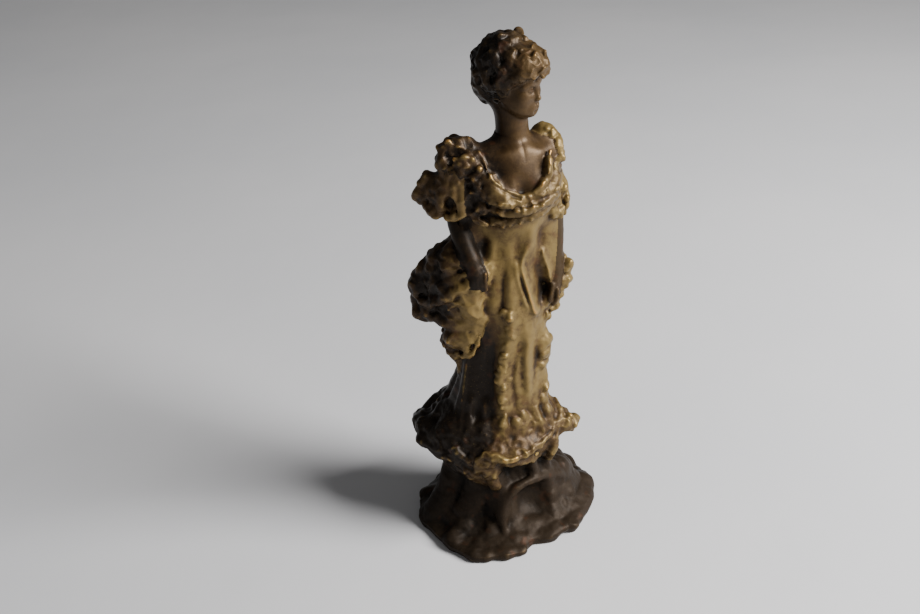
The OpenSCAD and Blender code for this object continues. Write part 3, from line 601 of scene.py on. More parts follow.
def makeMound(clay):
    tool = Tool(clay, "rock_mound")

    def crags(angle, z):
        return (0.022 * np.cos(5 * angle + 1.2 + z * 0.05) + 0.018 * np.cos(8 * angle - z * 0.08)
                + 0.010 * np.cos(13 * angle + z * 0.1))

    tool.loft([(seat + s[0], *s[1:]) for s in moundSizes["stations"]], 9.0, crags)
    # a long dark slope to the lady's right, with worn ledges
    tool.ropes([[(-24, -8, 30, 7), (-27, -11, 20, 7), (-32, -14, 9, 7)],
                [(-12, -14, 28, 7), (-16, -17, 17, 7), (-20, -21, 5, 6)],
                [(-4, -14.5, 26, 6), (-5, -17, 15, 6), (-6, -20, 5, 4)]], 8.0)
    # the rock swells out to the right as a shell: a raised lip with a shallow dish under it
    tool.ropes([[(4, -15, 12, 7), (15, -9, 12, 9), (25, 0, 10, 9), (30, 13, 7, 9)],
                [(6, -12, 21, 7), (14, -8, 22, 8), (22, 1, 18.5, 8), (27, 14, 12, 8)],
                [(24, -8, 4, 5), (34, 2, 4, 5.5), (37, 16, 3, 6)]], 7.0)
    tool.blob((20.5, -30.5, 20.5), (19, 20.0, 15.0), 2.5, yaw=28, hollow=True)
    tool.blob((37, -17, 21), (15, 16, 14), 3.0, hollow=True)
    tool.blob((20.0, -25.0, 42), (12, 9.5, 8), 4.0, yaw=28, hollow=True)
    tool.rope([(0.6, -30.5, 6.2, 1.2), (-0.8, -27.6, 11, 2.0), (-0.6, -25.6, 17, 2.2),
               (1.2, -24.0, 23, 2.2), (5.0, -22.4, 27.8, 2.0),
               (10.5, -19.0, 29.8, 1.8), (16, -14.6, 29.2, 1.7), (21.5, -8.6, 27, 1.6),
               (27.5, -1.6, 22, 1.7), (32, 7, 15, 1.8), (36, 16, 9, 1.8)], 1.8)
    tool.rope([(-4.4, -20, 38, 3.0), (-2.8, -20.4, 31, 2.8), (-1.4, -22.0, 24, 2.4), (-1.4, -24.2, 17, 2.2),
               (-1.2, -26.5, 10.5, 2.0)], 3.0)
    tool.rope([(12.5, -14.5, 41, 2.0), (13.4, -14.0, 36, 1.9), (13.8, -13.0, 31, 1.6)], 3.0)
    tool.rope([(19.5, -8.5, 40, 2.0), (20.5, -7.5, 34, 1.8), (21, -6, 29, 1.4)], 3.0)
    # points of rock along the foot
    tool.ropes([[(8, -25, 5, 2.0), (14, -22, 6.4, 2.2), (20, -19, 5.6, 1.8)],
                [(24, -15, 5.4, 1.8), (29, -10, 6.6, 2.0), (34, -6, 5, 1.8)]], 4.0)
    tool.pebbles([(-28, 6, 22), (-20, 22, 18), (0, 28, 16), (24, 22, 14)], 24, (3.0, 6.5), 5.0, seed=22,
                 soft=5.0, sink=0.7)
    tool.pebbles([(28, 14, 20), (18, 24, 24), (0, 26, 28), (-20, 22, 30), (-29, 4, 32)], 26, (2.6, 5.5),
                 4.0, seed=24, soft=4.0, sink=0.6)
    tool.pebbles([(-30, -16, 10), (-14, -24, 9), (2, -25, 9)], 12, (1.8, 3.6), 4.0, seed=23, soft=3.0,
                 sink=0.92)
    tool.pebbles([(18, -16, 20), (28, -6, 14), (34, 6, 8)], 8, (1.4, 2.8), 3.0, seed=25, soft=2.4,
                 sink=0.95)


# ---- gown ----

skirtSizes = {
    "stations": [
        # height over the deck, centre, radii, turn
        (0, -6.5, 1, 26, 21, 0), (14, -6.5, 1, 25.5, 21, 0), (25, -5.4, 1, 24, 20.2, 5),
        (38, -3.8, 0.6, 21.2, 18.2, 9),
        (52, -2.6, 0.3, 19.2, 16.8, 13), (66, -1.6, 0.2, 18.2, 16.0, 17), (80, -0.8, 0, 18.0, 15.4, 20),
        (92, -0.2, 0, 17.0, 14.2, 23), (101, 0, 0, 15.4, 12.4, 25), (107, 0, 0, 13.6, 10.6, 25),
        (112, 0, 0, 11, 8, 25),
    ],
    "pleats": 11,
    "pleatDepth": 0.030,
    "seed": 35,
}


def makeSkirt(clay):
    s = skirtSizes
    tool = Tool(clay, "skirt", waist)

    def pleats(angle, z):
        low = np.clip((waist - 6 - z) / 60, 0, 1)
        back = np.clip(0.5 + 0.8 * np.sin(angle + 0.25), 0.06, 1)     # deeper behind than in front
        wave = np.cos(s["pleats"] * angle + 1.4 * np.sin(2 * angle) + (z - deck) * 0.012)
        wave = wave + 0.45 * np.cos((2 * s["pleats"] - 3) * angle + 0.5)
        return s["pleatDepth"] * low * back * wave

    tool.loft([(deck + r[0], *r[1:]) for r in s["stations"]], 3.0, pleats)

    def fold(spots, height, width, side="front", **more):
        clay.ruck([(a, waist + b, *r) for a, b, *r in spots], height, width, side, **more)

    # the broad smooth panel and the dark hollow to the lady's right of the edging
    tool.blob((-12.0, -24.5, -60), (7.5, 9.2, 23), 6.0, hollow=True)
    tool.blob((-12.5, -28.5, -86), (7.5, 9.0, 14), 6.0, hollow=True)
    fold([(-9, 6), (-10.4, -8), (-11, -20), (-9.5, -32)], 1.5, 3.4)
    fold([(-4.6, 4), (-6.6, -10), (-7.2, -22), (-7.0, -33)], 0.9, 2.4)
    # standing folds that fan out below the waist
    fold([(0.6, 6), (0.4, -8), (0.4, -22), (1.6, -36)], 1.1, 3.0)
    fold([(-2.6, -1), (-3.0, -12), (-3.2, -22), (-3.6, -32)], -0.9, 1.3, ends=(0.5, 0.3))
    fold([(-13.8, 4), (-14.4, -8), (-14, -16)], -1.0, 1.6)
    fold([(-7.8, -4, 0.5), (-8.8, -10), (-8.6, -16, 0.6)], -0.7, 1.0)
    # edging of the overskirt: a ragged strip down the front, with a shadow along its right
    edging = [(-1.4, -25, 0.7), (0.0, -30), (1.2, -36.5), (-0.4, -44), (-2.2, -53), (-3.4, -61),
              (-2.6, -69), (-1.6, -78), (-1.8, -92)]
    fold(edging, 1.9, 2.9, ends=(0.05, 0.1))
    fold([(-4.4, -28, 0.6), (-5.4, -38), (-7.0, -48), (-8.4, -58), (-8.2, -70), (-7.6, -86)], -1.7, 2.6,
         ends=(0.4, 0.3))
    fold([(4.8, -32, 0.6), (4.6, -46), (2.8, -56), (2.0, -64), (3.4, -74), (4.4, -88)], -0.8, 1.3,
         ends=(0.4, 0.3))
    path = clay.land([(e[0] - 0.6, waist + e[1]) for e in edging], "front")
    clay.pebbles(path, 70, (0.7, 1.7), 1.5, 31, tool.owner, 1.0, sink=0.62)
    # folds swept from the waist to the left hand, with a deep pocket between them
    fold([(8.2, 5, 0.4), (9.8, -2), (12.2, -9), (14.2, -18), (15.4, -26), (15.4, -31, 0.6)], -3.0, 2.7,
         ends=(0.35, 0.2), middle=5.0)
    fold([(9.0, 8), (6.4, 1), (5.2, -5), (7.6, -14), (10.4, -24), (13.6, -33)], 1.9, 1.5, ends=(0.2, 0.1))
    fold([(3.8, 4), (2.6, -4), (4.6, -13), (7.6, -23), (10.8, -31)], 1.0, 1.5)
    fold([(3.6, -4, 0.6), (5.2, -12), (8.0, -21), (10.8, -30)], -1.0, 1.0, ends=(0.35, 0.3))
    fold([(11.5, 5), (15.6, -4), (18.6, -14), (19.2, -24), (16.4, -34)], 2.0, 1.6, middle=6.0)
    fold([(6.6, -34), (9.6, -42), (9.2, -54), (10.4, -68), (11.4, -80)], 1.5, 2.8)
    fold([(6.0, -38), (6.2, -48), (6.4, -60), (7.6, -74)], -0.6, 1.6)
    # lumps of ruffle down the left edge of the underskirt
    tool.ropes([[(13.4, -3, -42, 2.6), (15.2, -2, -52, 3.4), (14.4, -2, -60, 3.0), (15.4, -1, -70, 3.6),
                 (14.0, -3, -79, 2.6)]], 3.5)
    tool.pebbles([(15, -3, -46), (17.4, -2, -53), (15.0, -3, -62), (17.6, -1, -71),
                  (14, -4, -79)], 34, (1.2, 2.8), 1.6, seed=32, soft=1.4, sink=0.55)
    fold([(12.2, -42), (13.0, -54), (12.2, -66), (12.6, -80)], -0.8, 1.3, ends=(0.4, 0.4))
    # lower folds, which break where the skirt meets the ground
    fold([(-17, -70), (-18.6, -84), (-20, -98)], 1.6, 2.4)
    fold([(-10.4, -72), (-11.2, -84), (-12, -98)], 1.5, 2.0)
    fold([(3.8, -80), (4.6, -90), (5.2, -100)], 1.2, 2.2)
    fold([(-14, -70), (-15, -84), (-16, -100)], -1.0, 2.0, ends=(0.4, 0.2))
    fold([(0.8, -76), (1.0, -88), (1.4, -100)], -0.8, 1.6, ends=(0.4, 0.2))
    fold([(8.4, -76), (9.4, -88), (10.4, -100)], -0.8, 1.8, ends=(0.4, 0.2))
    tool.pebbles([(-18, -15, -86), (-8, -19, -89), (2, -19.5, -88), (12, -13, -86)],
                 50, (1.0, 2.6), 2.4, seed=33, soft=1.8, sink=0.62)
    # ridges down the lady's right side
    fold([(-17.4, -40), (-19.4, -54), (-20.6, -66), (-22, -80), (-24, -94)], 1.4, 1.2)
    fold([(-9, -42), (-11, -58), (-13, -74), (-15, -92)], 1.6, 2.0, side="right", middle=-4.0)
    fold([(-2, -42), (-2, -60), (-1, -92)], -1.6, 2.2, side="right", middle=-4.0)
    fold([(6, -42), (7, -60), (9, -92)], 1.6, 2.6, side="right", middle=-4.0)
    rng = np.random.default_rng(s["seed"])
    for x in np.linspace(-18, 12, 6) + rng.uniform(-1.3, 1.3, 6):
        top, bow = rng.uniform(-48, -36), rng.uniform(-1.8, 1.8)
        fold([(x * 0.75, top), (x * 0.9 + bow, -62), (x + bow * 0.4, -78), (x * 1.15, -98)],
             rng.uniform(1.0, 2.2), rng.uniform(2.0, 3.0), "back")
        fold([(x * 0.7 + 2.8, top - 4), (x * 0.9 + 3.2 + bow, -64), (x * 1.15 + 3.4, -98)],
             -rng.uniform(0.6, 1.3), rng.uniform(1.5, 2.1), "back")


# Hem: a smooth leaf of cloth in front to the viewer's right, rolls and curls everywhere else
hemSizes = {"rolls": 12, "ribs": 110, "seed": 41}


def makeHem(clay):
    tool = Tool(clay, "hem_flounce", deck)
    foot = (-6.5, 1.0)
    rng = np.random.default_rng(hemSizes["seed"])
    # a heavy roll over the foot, round the back and the lady's right, then gathers pressed across it
    heavy, skirtSide = [], []

    def width(t):  # of the roll, as a share of the skirt's foot: more to the lady's right
        return 1.02 + 0.05 * math.cos(5 * t) + 0.16 * max(0.0, -math.cos(t)) ** 2

    for t in np.radians(np.arange(10, 262, 8)):
        c, s, wide = math.cos(t), math.sin(t), width(t)
        heavy.append((foot[0] + 26 * wide * c, foot[1] + 22 * wide * s, 6.5 + 2.0 * math.cos(3 * t + 1),
                      6.0 + 0.8 * math.cos(4 * t)))
        skirtSide.append((foot[0] + 25 * c, foot[1] + 20.5 * s, 15, 4.0))
    tool.ropes([heavy, skirtSide], 5.0)
    paths = []
    for k in range(hemSizes["rolls"]):
        t = math.radians(30 + 200 * k / (hemSizes["rolls"] - 1) + rng.uniform(-5, 5))
        c, s, wide = math.cos(t), math.sin(t), width(t)
        lean = rng.uniform(-6, 6)
        size = rng.uniform(3.0, 4.8)
        paths.append([(foot[0] + 23 * c, foot[1] + 18.5 * s, 19 + rng.uniform(-3, 3), size * 0.7),
                      (foot[0] + 26 * (wide + 0.02) * c - lean * s * 0.5,
                       foot[1] + 22 * (wide + 0.02) * s + lean * c * 0.5, 12.5, size),
                      (foot[0] + 26 * (wide + rng.uniform(0.04, 0.13)) * c - lean * s,
                       foot[1] + 22 * (wide + 0.10) * s + lean * c,
                       5 + rng.uniform(-2, 2), size)])
    tool.ropes(paths, 3.2)
    # knobs at the lady's right
    tool.ropes([[(-31, -2, 11, 5.5), (-37, -2, 9.5, 4.8), (-42.0, -1, 8.5, 3.4)],
                [(-29, 7, 17, 4.5), (-33.5, 9, 14.5, 3.6), (-36, 11, 10, 3.6)],
                [(-27, -6, 19, 4.2), (-31, -4, 17, 3.4)]], 2.6)
    tool.pebbles([(-42, -3, 9), (-39, -9, 5), (-34, -14, 3), (-30, -18, 0)],
                 26, (1.8, 3.6), 2.4, seed=44, soft=2.2, sink=0.5)
    tool.pebbles([(-40, 4, 7), (-30, 20, 6), (-8, 28, 5), (14, 22, 6)],
                 50, (2.0, 4.6), 3.5, seed=48, soft=2.6, sink=0.5)
    # low hanging mass in front, with its roll and shell-like curl
    tool.ropes([[(-30, -10, 6, 7), (-24, -15, 3, 7.5), (-16, -19, 1, 7.5), (-8, -21, 0, 7)],
                [(-26, -13, -3, 5), (-18, -19, -6, 5), (-10, -22, -9, 4.4)],
                [(-26, -12, 13, 6), (-14, -17, 12, 6.5), (-4, -19, 11, 6)],
                [(-10, -22, -4, 5), (-8, -22, -9, 4)]], 5.0)
    tool.rope([(-37, -12, 8.5, 2.0), (-31, -18, 10.2, 2.2), (-26, -22, 9.6, 2.3), (-22.5, -25, 6.2, 2.1),
               (-18, -26.5, 3.6, 1.8)], 1.3)
    tool.ropes([[(-24, -21, -1, 1.8), (-18, -25, -3.5, 2.0), (-12.5, -26, -7, 1.8)],
                [(-28, -17, -2, 1.6), (-22, -21.5, -5, 1.8), (-16, -24, -9, 1.4)]], 1.6)
    tool.blob((-10.5, -25.6, 4.5), (6.4, 4.0, 5.8), 2.2)
    curl = [(-10.5 + 4.8 * math.cos(t) * (1 - t / 10), -28.6 - 0.16 * t,
             4.6 + 4.4 * math.sin(t) * (1 - t / 10), 1.45 - 0.09 * t)
            for t in np.linspace(-0.6, 6.6, 18)]
    tool.rope(curl, 0.8)
    tool.rope([(-8, -26, -4, 3.2), (-6.5, -25, -9, 2.8), (-5, -23.5, -13, 2.4)], 2.0)
    tool.pebbles([(-29, -20, 3), (-20, -25, 1), (-9, -27, -3), (-4, -26, -7)],
                 40, (0.9, 2.2), 2.4, seed=45, soft=1.3, sink=0.55)
    # leaf of cloth: from the skirt out to a thin raised rim, with a dark hollow under it
    inner = smoothPath([(-6, -17, 15, 2), (2, -17.5, 16.5, 2), (10, -13, 18, 2), (16, -6, 20.5, 2),
                        (17.5, 3, 23, 2)], 0.5)
    outer = smoothPath([(-5.5, -29.0, 8.5, 2), (1.5, -31.0, 7.2, 2), (9, -26, 7.6, 2), (17, -18, 9.0, 2),
                        (23, -10.5, 12.0, 2), (26, -2, 16, 2), (23.5, 6, 20, 2)], 0.5)
    ribs = []
    for k in range(hemSizes["ribs"]):
        share = k / (hemSizes["ribs"] - 1)
        a, b = inner[int(share * (len(inner) - 1))], outer[int(share * (len(outer) - 1))]
        m = (a + b) / 2
        ribs.append([(a[0], a[1], a[2] - 1.6, 3.6), (m[0], m[1], m[2] - 3.2, 3.0),
                     (b[0], b[1], b[2] - 1.0, 1.4)])
    tool.ropes(ribs, 3.6)
    tool.rope([(r[0], r[1], r[2] + 0.1, 1.0) for r in outer[::6]], 1.0)
    tool.ropes([[(2, -21, 3, 6), (8, -18, 3, 6.5), (14, -12, 4, 6.5), (18, -3, 7, 7), (17, 7, 9, 7)]], 4.0)
    tool.blob((16.5, -23.5, 1.0), (10, 6.0, 4.4), 2.5, yaw=38, hollow=True)
    # two stumps that stand in the leaf, a folded lappet under its rim and the knob at the far right
    tool.ropes([[(12.0, -9.5, 25, 2.6), (14.0, -11.5, 19, 3.4), (15.5, -12.5, 13, 3.0)],
                [(16.5, -4.5, 26, 2.6), (18.6, -6.5, 20, 3.2), (20, -8, 15.5, 2.4)]], 3.2)
    tool.ropes([[(21, -9, 8, 4.0), (23.4, -11, 5, 3.4), (22.6, -12.0, 1, 2.8), (21.4, -11.4, -4, 2.0)],
                [(19, -8, 4, 4.0), (19.6, -9.6, -1, 3.2)]], 2.6)
    tool.ropes([[(24, -5, 9, 4.6), (28.5, -3, 10.5, 4.2), (30, 1, 8, 4.0)],
                [(22, 2, 13, 5.0), (27, 4, 11, 4.2), (26, 8, 6, 4.6)]], 2.6)
    tool.pebbles([(31, -4, 11), (32, 1, 8), (29, 5, 4)], 18, (1.0, 2.2), 1.6, seed=46, soft=1.2, sink=0.35)


bodiceSizes = {
    "stations": [
        # height over the waist, centre and radii in the torso's frame
        (-12, 0, 0, 12.0, 9.0), (-6, 0, 0, 14.2, 11.2), (0, 0, 0, 15.0, 12.0), (4, -0.2, 0, 15.0, 11.9),
        (9, -0.4, -0.2, 15.8, 12.4), (16, -0.3, -1.0, 17.4, 13.6),
        (22, -0.1, -1.5, 18.4, 14.8), (28, 0, -1.5, 18.5, 15.0), (32, 0, -1.4, 18.6, 14.4),
    ],
    "yaw": 25.0,
}


def torso(x, y, z, *rest):  # a spot in the torso's own frame, where the chest faces -y
    u, v = turn(x, y, bodiceSizes["yaw"])
    return (u, v, z, *rest)


def makeBodice(clay):
    tool = Tool(clay, "bodice", waist)
    yaw = bodiceSizes["yaw"]
    rows = [(waist + r[0], *turn(r[1], r[2], yaw), r[3], r[4], yaw) for r in bodiceSizes["stations"]]
    tool.loft(rows, 4.0)
    # cloth between the arms and the waist
    tool.ropes([[(-15, -6, 32, 6), (-16, -6.5, 18, 6), (-15, -6.5, 4, 5), (-14, -6, -6, 5)],
                [(14, 4, 26, 5), (15.5, 4.5, 12, 5), (16, 4.5, -2, 5), (16, 4, -12, 5)]], 6.0)
    # soft folds drawn down from the collar to the waist, and a seam down the back
    folds = [([(9.6, 16), (9.0, 6), (7.0, -3)], 1.2, 2.6), ([(13.6, 14), (13.4, 4), (13.0, -6)], -1.0, 1.8),
             ([(3.4, 14), (2.6, 2), (2.4, -8)], -0.7, 2.2), ([(-7.6, 12), (-8.6, 0), (-10.0, -12)], 1.0,
                                                             2.2),
             ([(-12.4, 12), (-12.8, 2), (-13.4, -8)], -0.8, 2.0)]
    for spots, height, width in folds:
        clay.ruck([(a, waist + b) for a, b in spots], height, width, ends=(0.35, 0.35))
    clay.ruck([(6, waist + 24), (5.4, waist + 12), (5, waist + 1)], -0.8, 0.8, "back", ends=(0.1, 0.1))


bustSizes = {
    "stations": [
        # height under or over the neck joint, centre and radii in the torso's frame
        (-26, 0, -1.5, 18.4, 14.6), (-21, 0, -1.4, 18.8, 14.0), (-16, 0, -0.9, 19.0, 12.6),
        (-11.5, 0, -0.3, 18.6, 11.0),
        (-8.5, 0, 0, 16.4, 10.0), (-6, 0, 0, 13.2, 9.2), (-4, 0, 0.1, 10.8, 8.6), (-2, 0, 0.2, 8.9, 7.9),
        (0, 0, 0.3, 7.9, 7.6),
        (2, 0, 0.4, 7.4, 7.4), (6, 0, 0.5, 7.2, 7.2),
    ],
}


def makeBust(clay):
    tool = Tool(clay, "bust", neck)
    yaw = bodiceSizes["yaw"]
    rows = []
    for z, cx, cy, rx, ry in bustSizes["stations"]:
        # the neck stands half a millimetre off the torso's middle
        near = min(1, max(0, (z + 6) / 6))
        u, v = turn(cx, cy, yaw)
        rows.append((neck + z, u - 0.5 * near, v, rx, ry, yaw))
    tool.loft(rows, 2.0)
    # collar bones, shoulders and breast, all soft
    tool.ropes([[torso(-2.4, -8.0, -6, 1.2), torso(-8, -8.4, -7.4, 1.4), torso(-14, -5.5, -8, 1.6)],
                [torso(2.4, -8.0, -6, 1.0), torso(8, -8.4, -7.4, 1.2), torso(14, -5.5, -8, 1.4)]], 6.0)
    tool.ropes([[torso(-5.5, 0.5, -5, 3.6), torso(-10, 0.5, -8.0, 4.6), torso(-15, 0, -10.5, 5)],
                [torso(5.5, 0.5, -5, 3.6), torso(10, 0.5, -8.0, 4.6), torso(15, 0, -10.5, 5)]], 4.0)
    tool.ropes([[torso(-13, 0, -9.0, 5), torso(-18.5, -1, -11, 4.8)],
                [torso(13, 0, -9.0, 5), torso(18.5, 0, -11, 4.8)]], 5.0)
    tool.blob(torso(0, -7.5, -15), (9.5, 5.6, 8.0), 6.0, yaw=yaw)
    tool.blob(torso(-6.4, -8.4, -22), (6.4, 5.8, 6.0), 5.0, yaw=yaw)
    tool.blob(torso(6.4, -8.4, -22), (6.4, 5.8, 6.0), 5.0, yaw=yaw)
    tool.drape([(4.4, -17), (5.0, -21), (5.2, -26)], 1.2, sink=-0.5, soft=4.0, hollow=True)


# ---- collar, bows, sleeves and arms ----

def makeArms(clay):
    right, left = Tool(clay, "right_arm", neck), Tool(clay, "left_arm", neck)
    right.rope([(-17, -8, -9, 5.2), (-21.5, -8.5, -18, 5.2), (-23.5, -9, -30, 5.0), (-24.0, -9.5, -38, 4.8),
               (-21.5, -13, -46, 4.3), (-17.5, -16.8, -54, 3.4)], 3.0)
    left.rope([(14, 7, -9, 5.2), (16, 7.5, -18, 5), (18, 8, -30, 4.9), (19.2, 8, -40, 4.4),
               (20.4, 6.5, -54, 3.9), (20.8, 4, -68, 3.1)], 3.0)
    # right hand, gathering the overskirt
    right.rope([(-17.5, -16.8, -54, 3.1), (-15.8, -18.0, -58.5, 3.3), (-14.8, -18.3, -62, 3.1)], 2.0)
    for k in range(4):
        x = -17.2 + 1.75 * k
        right.rope([(x + 0.6, -19.4, -60, 1.15), (x + 0.7, -20.5 + 0.2 * k, -64, 1.1),
                    (x + 1.1, -19.2, -67.5, 0.95)], 0.7)
    right.rope([(-13.4, -18.4, -57.5, 1.3), (-11.8, -18.4, -61, 1.2), (-11.6, -17.6, -64, 1.0)], 0.9)
    # left hand
    left.rope([(20.8, 4, -68, 3.0), (20.4, 2.2, -74, 3.2), (20.0, 1.5, -78.5, 2.9)], 1.8)
    for k in range(4):
        y = -0.8 + 1.6 * k
        left.rope([(22.0, y, -76.5, 1.1), (22.1, y - 0.4, -80.5, 1.05), (20.8, y - 0.6, -83.5, 0.9)], 0.7)
    left.rope([(19.8, -0.8, -74, 1.2), (19.2, -2.4, -78, 1.1), (18.8, -2.2, -81, 0.9)], 0.9)


berthaSizes = {
    # (x, height over the neckline joint, radius), seen from the front
    "folds": [
        [(-12.0, 6.5, 1.4), (-8.5, 2.6, 2.0), (-3, 0.8, 2.1), (3.5, 1.0, 1.9), (10, 2.2, 2.0),
         (16, 3.8, 1.8), (20, 4.0, 1.4)],
        [(-15.0, 2, 1.6), (-11, -2.2, 2.2), (-5, -4.0, 2.2), (1, -3.8, 1.9), (8, -2.6, 2.2),
         (14, -1.0, 1.9), (20, -0.4, 1.6)],
        [(-17.0, -2, 1.6), (-13.6, -6.4, 2.0), (-9.4, -9.0, 2.1), (-3, -10.4, 2.1), (3, -8.8, 1.7),
         (10, -7.0, 1.9), (16, -5.2, 1.8), (20, -4.4, 1.6)],
    ],
    "creases": [
        [(-9, -0.6), (-2, -1.8), (6, -1.0), (14, 0.8)],
        [(-11, -5.6), (-4, -7.4), (4, -6.2), (12, -4.4)],
    ],
    "seed": 51,
}


def makeBertha(clay):
    b = berthaSizes
    tool = Tool(clay, "bertha_collar", neckline)

    # body of the collar, then its rolls
    tool.ropes([[torso(-17, -8, 12, 3.4), torso(-14, -12, 5, 4), torso(-8, -14.6, -1, 4),
                 torso(0, -15.6, -4, 4), torso(8, -14.6, -1, 4), torso(14, -11, 4, 4),
                 torso(17, -6, 8, 3.4)]], 3.5)
    for rows in b["folds"]:
        tool.drape(rows, 2.0, sink=0.3, soft=1.5, ends=(0.3, 0))
    for rows in b["creases"]:
        tool.drape(rows, 0.7, sink=0.0, soft=0.9, hollow=True)
    # dark gathered band from the right shoulder, and the frill's edge over the arm
    tool.ropes([[(-17.5, -9, 18, 3.4), (-17.5, -12, 8, 4.0), (-15, -13.6, -2, 4.0)]], 3.0)
    tool.rope([(-16.0, -13.0, 19, 1.9), (-15.6, -15.0, 12, 2.2), (-14.4, -16.4, 3, 2.2),
               (-12.5, -16.8, -4, 2.0)], 1.4)
    tool.pebbles([(-16.5, -15, 17), (-15.5, -17, 7), (-13, -18, -3)], 40, (0.8, 1.7), 1.5,
                 seed=b["seed"], soft=0.9, sink=0.4)
    tool.rope([(-21.6, -12.0, 14, 1.2), (-21.0, -14.8, 6, 1.4), (-18.8, -16.2, -2, 1.5),
               (-15.5, -17.0, -8, 1.5), (-11, -17.2, -10.5, 1.5)], 1.6)
    tool.rope([(-18.8, -14.2, 16, 0.9), (-18.4, -16.2, 6, 1.0), (-16.6, -17.4, -4, 1.0)], 1.2, hollow=True)
    tool.rope([(15.6, -6.5, 16, 1.8), (15.2, -9.5, 10, 2.0), (12, -13.5, 4.5, 1.8)], 1.6)
    # thin rims of the V neckline
    tool.drape([(-14.6, 21), (-11.8, 16.5), (-9.4, 12), (-4.6, 7.4), (0.6, 4.4),
                (4.2, 3.0)], 0.8, sink=0.15, soft=0.8)
    tool.drape([(16.0, 19), (15.4, 11), (12.4, 6.6), (8.6, 3.8), (4.2, 3.0)], 0.8, sink=0.15, soft=0.8)
    tool.drape([(-6.8, 9.2), (-1.0, 5.0), (3.6, 2.4)], 0.6, sink=0.0, soft=0.8, hollow=True)
    # flecks of relief on the folds
    for rows, seed in zip(b["folds"], (52, 53, 54)):
        path = clay.land([(r[0], neckline + r[1]) for r in rows], "front", 0.5)
        clay.pebbles(path, 26, (0.6, 1.3), 1.2, seed, tool.owner, 0.8, sink=0.5)

    # round the back, from shoulder to shoulder
    def ring(lift, out, radius):
        return [torso((18.5 + out) * math.cos(t), (12.0 + out) * math.sin(t) - 1,
                      lift + 8 * abs(math.cos(t)) ** 2, radius)
                for t in np.linspace(-0.25, math.pi + 0.25, 15)]

    tool.ropes([ring(2.0, -2.0, 4.6), ring(4.5, 0.2, 2.4)], 2.5)
    tool.frill(ring(1.0, 0.9, 2.0), 1.0, 10, seed=55, soft=1.4)
    tool.frill(ring(-3.0, 0.7, 1.9), 1.2, 11, seed=56, soft=1.4)


def makeBows(clay):
    right, left = [Tool(clay, f"{side}_shoulder_bow", neck) for side in ("right", "left")]
    # right bow: puffed loops over a full core, and a fan of folds towards the chest
    right.ropes([[(-20.5, -7, -5, 5.0), (-25, -8, -6, 5.4), (-27, -9, -11, 5.4), (-23.5, -10, -14, 5.4)]],
                3.5)
    right.ropes([[(-20.5, -8, -3.0, 3.6), (-25, -9, -3.2, 4.0), (-28.6, -9.5, -6.4, 3.6)],
                [(-28.4, -10.5, -10, 3.8), (-27.0, -12, -14.5, 3.8)],
                [(-19.6, -12.5, -6.5, 2.4), (-21.5, -14.2, -9.5, 3.0), (-23.0, -14.0, -14, 3.0)]], 1.6)
    for k in range(5):
        a = -0.35 + 0.40 * k
        right.rope([(-18.8, -14.2, -5.6, 0.8), (-20.6 - 1.4 * math.cos(a), -16.0, -7.6 - 3.0 * math.sin(a),
                                                1.15),
                   (-21.4 - 3.8 * math.cos(a), -15.8, -9 - 6.0 * math.sin(a), 1.0)], 0.9)
    right.blob((-26.4, -14.2, -8.0), (2.2, 1.8, 1.8), 1.2, hollow=True)
    right.pebbles([(-26, -12, -2), (-31, -10, -8), (-29, -13, -14)], 30, (1.0, 2.1), 1.6, seed=61, soft=1.1,
                  sink=0.35)
    right.pebbles([(-23, -14, -3), (-21, -16, -8), (-22, -16, -15)], 26, (0.7, 1.5), 1.4, seed=62, soft=0.8,
                  sink=0.5)
    right.pebbles([(-24, -3, -4), (-29, -4, -9), (-25, -2, -14)], 18, (1.4, 3.0), 1.8, seed=63, soft=1.4,
                  sink=0.3)
    # left bow
    left.ropes([[(12, 8, -3.0, 4.4), (15, 8.5, -5, 4.6), (15.6, 7, -10, 4.8), (14.6, 4, -13, 4.4)]], 3.0)
    left.ropes([[(12, 9, -1.4, 3.2), (15.5, 9.5, -2.6, 3.4), (17.4, 8, -7.4, 3.4), (16.6, 3, -11, 3.0),
                 (16.4, 1.0, -15, 2.6)],
                [(15, 11, -5, 3.8), (17, 13, -10, 3.8), (17, 10, -15, 3.8)]], 1.6)
    left.pebbles([(13, 7, -1), (18, 6.5, -5), (19, 4, -12), (17, 1, -16)], 30, (0.9, 1.9), 1.3, seed=64,
                 soft=1.0,
                 sink=0.35)


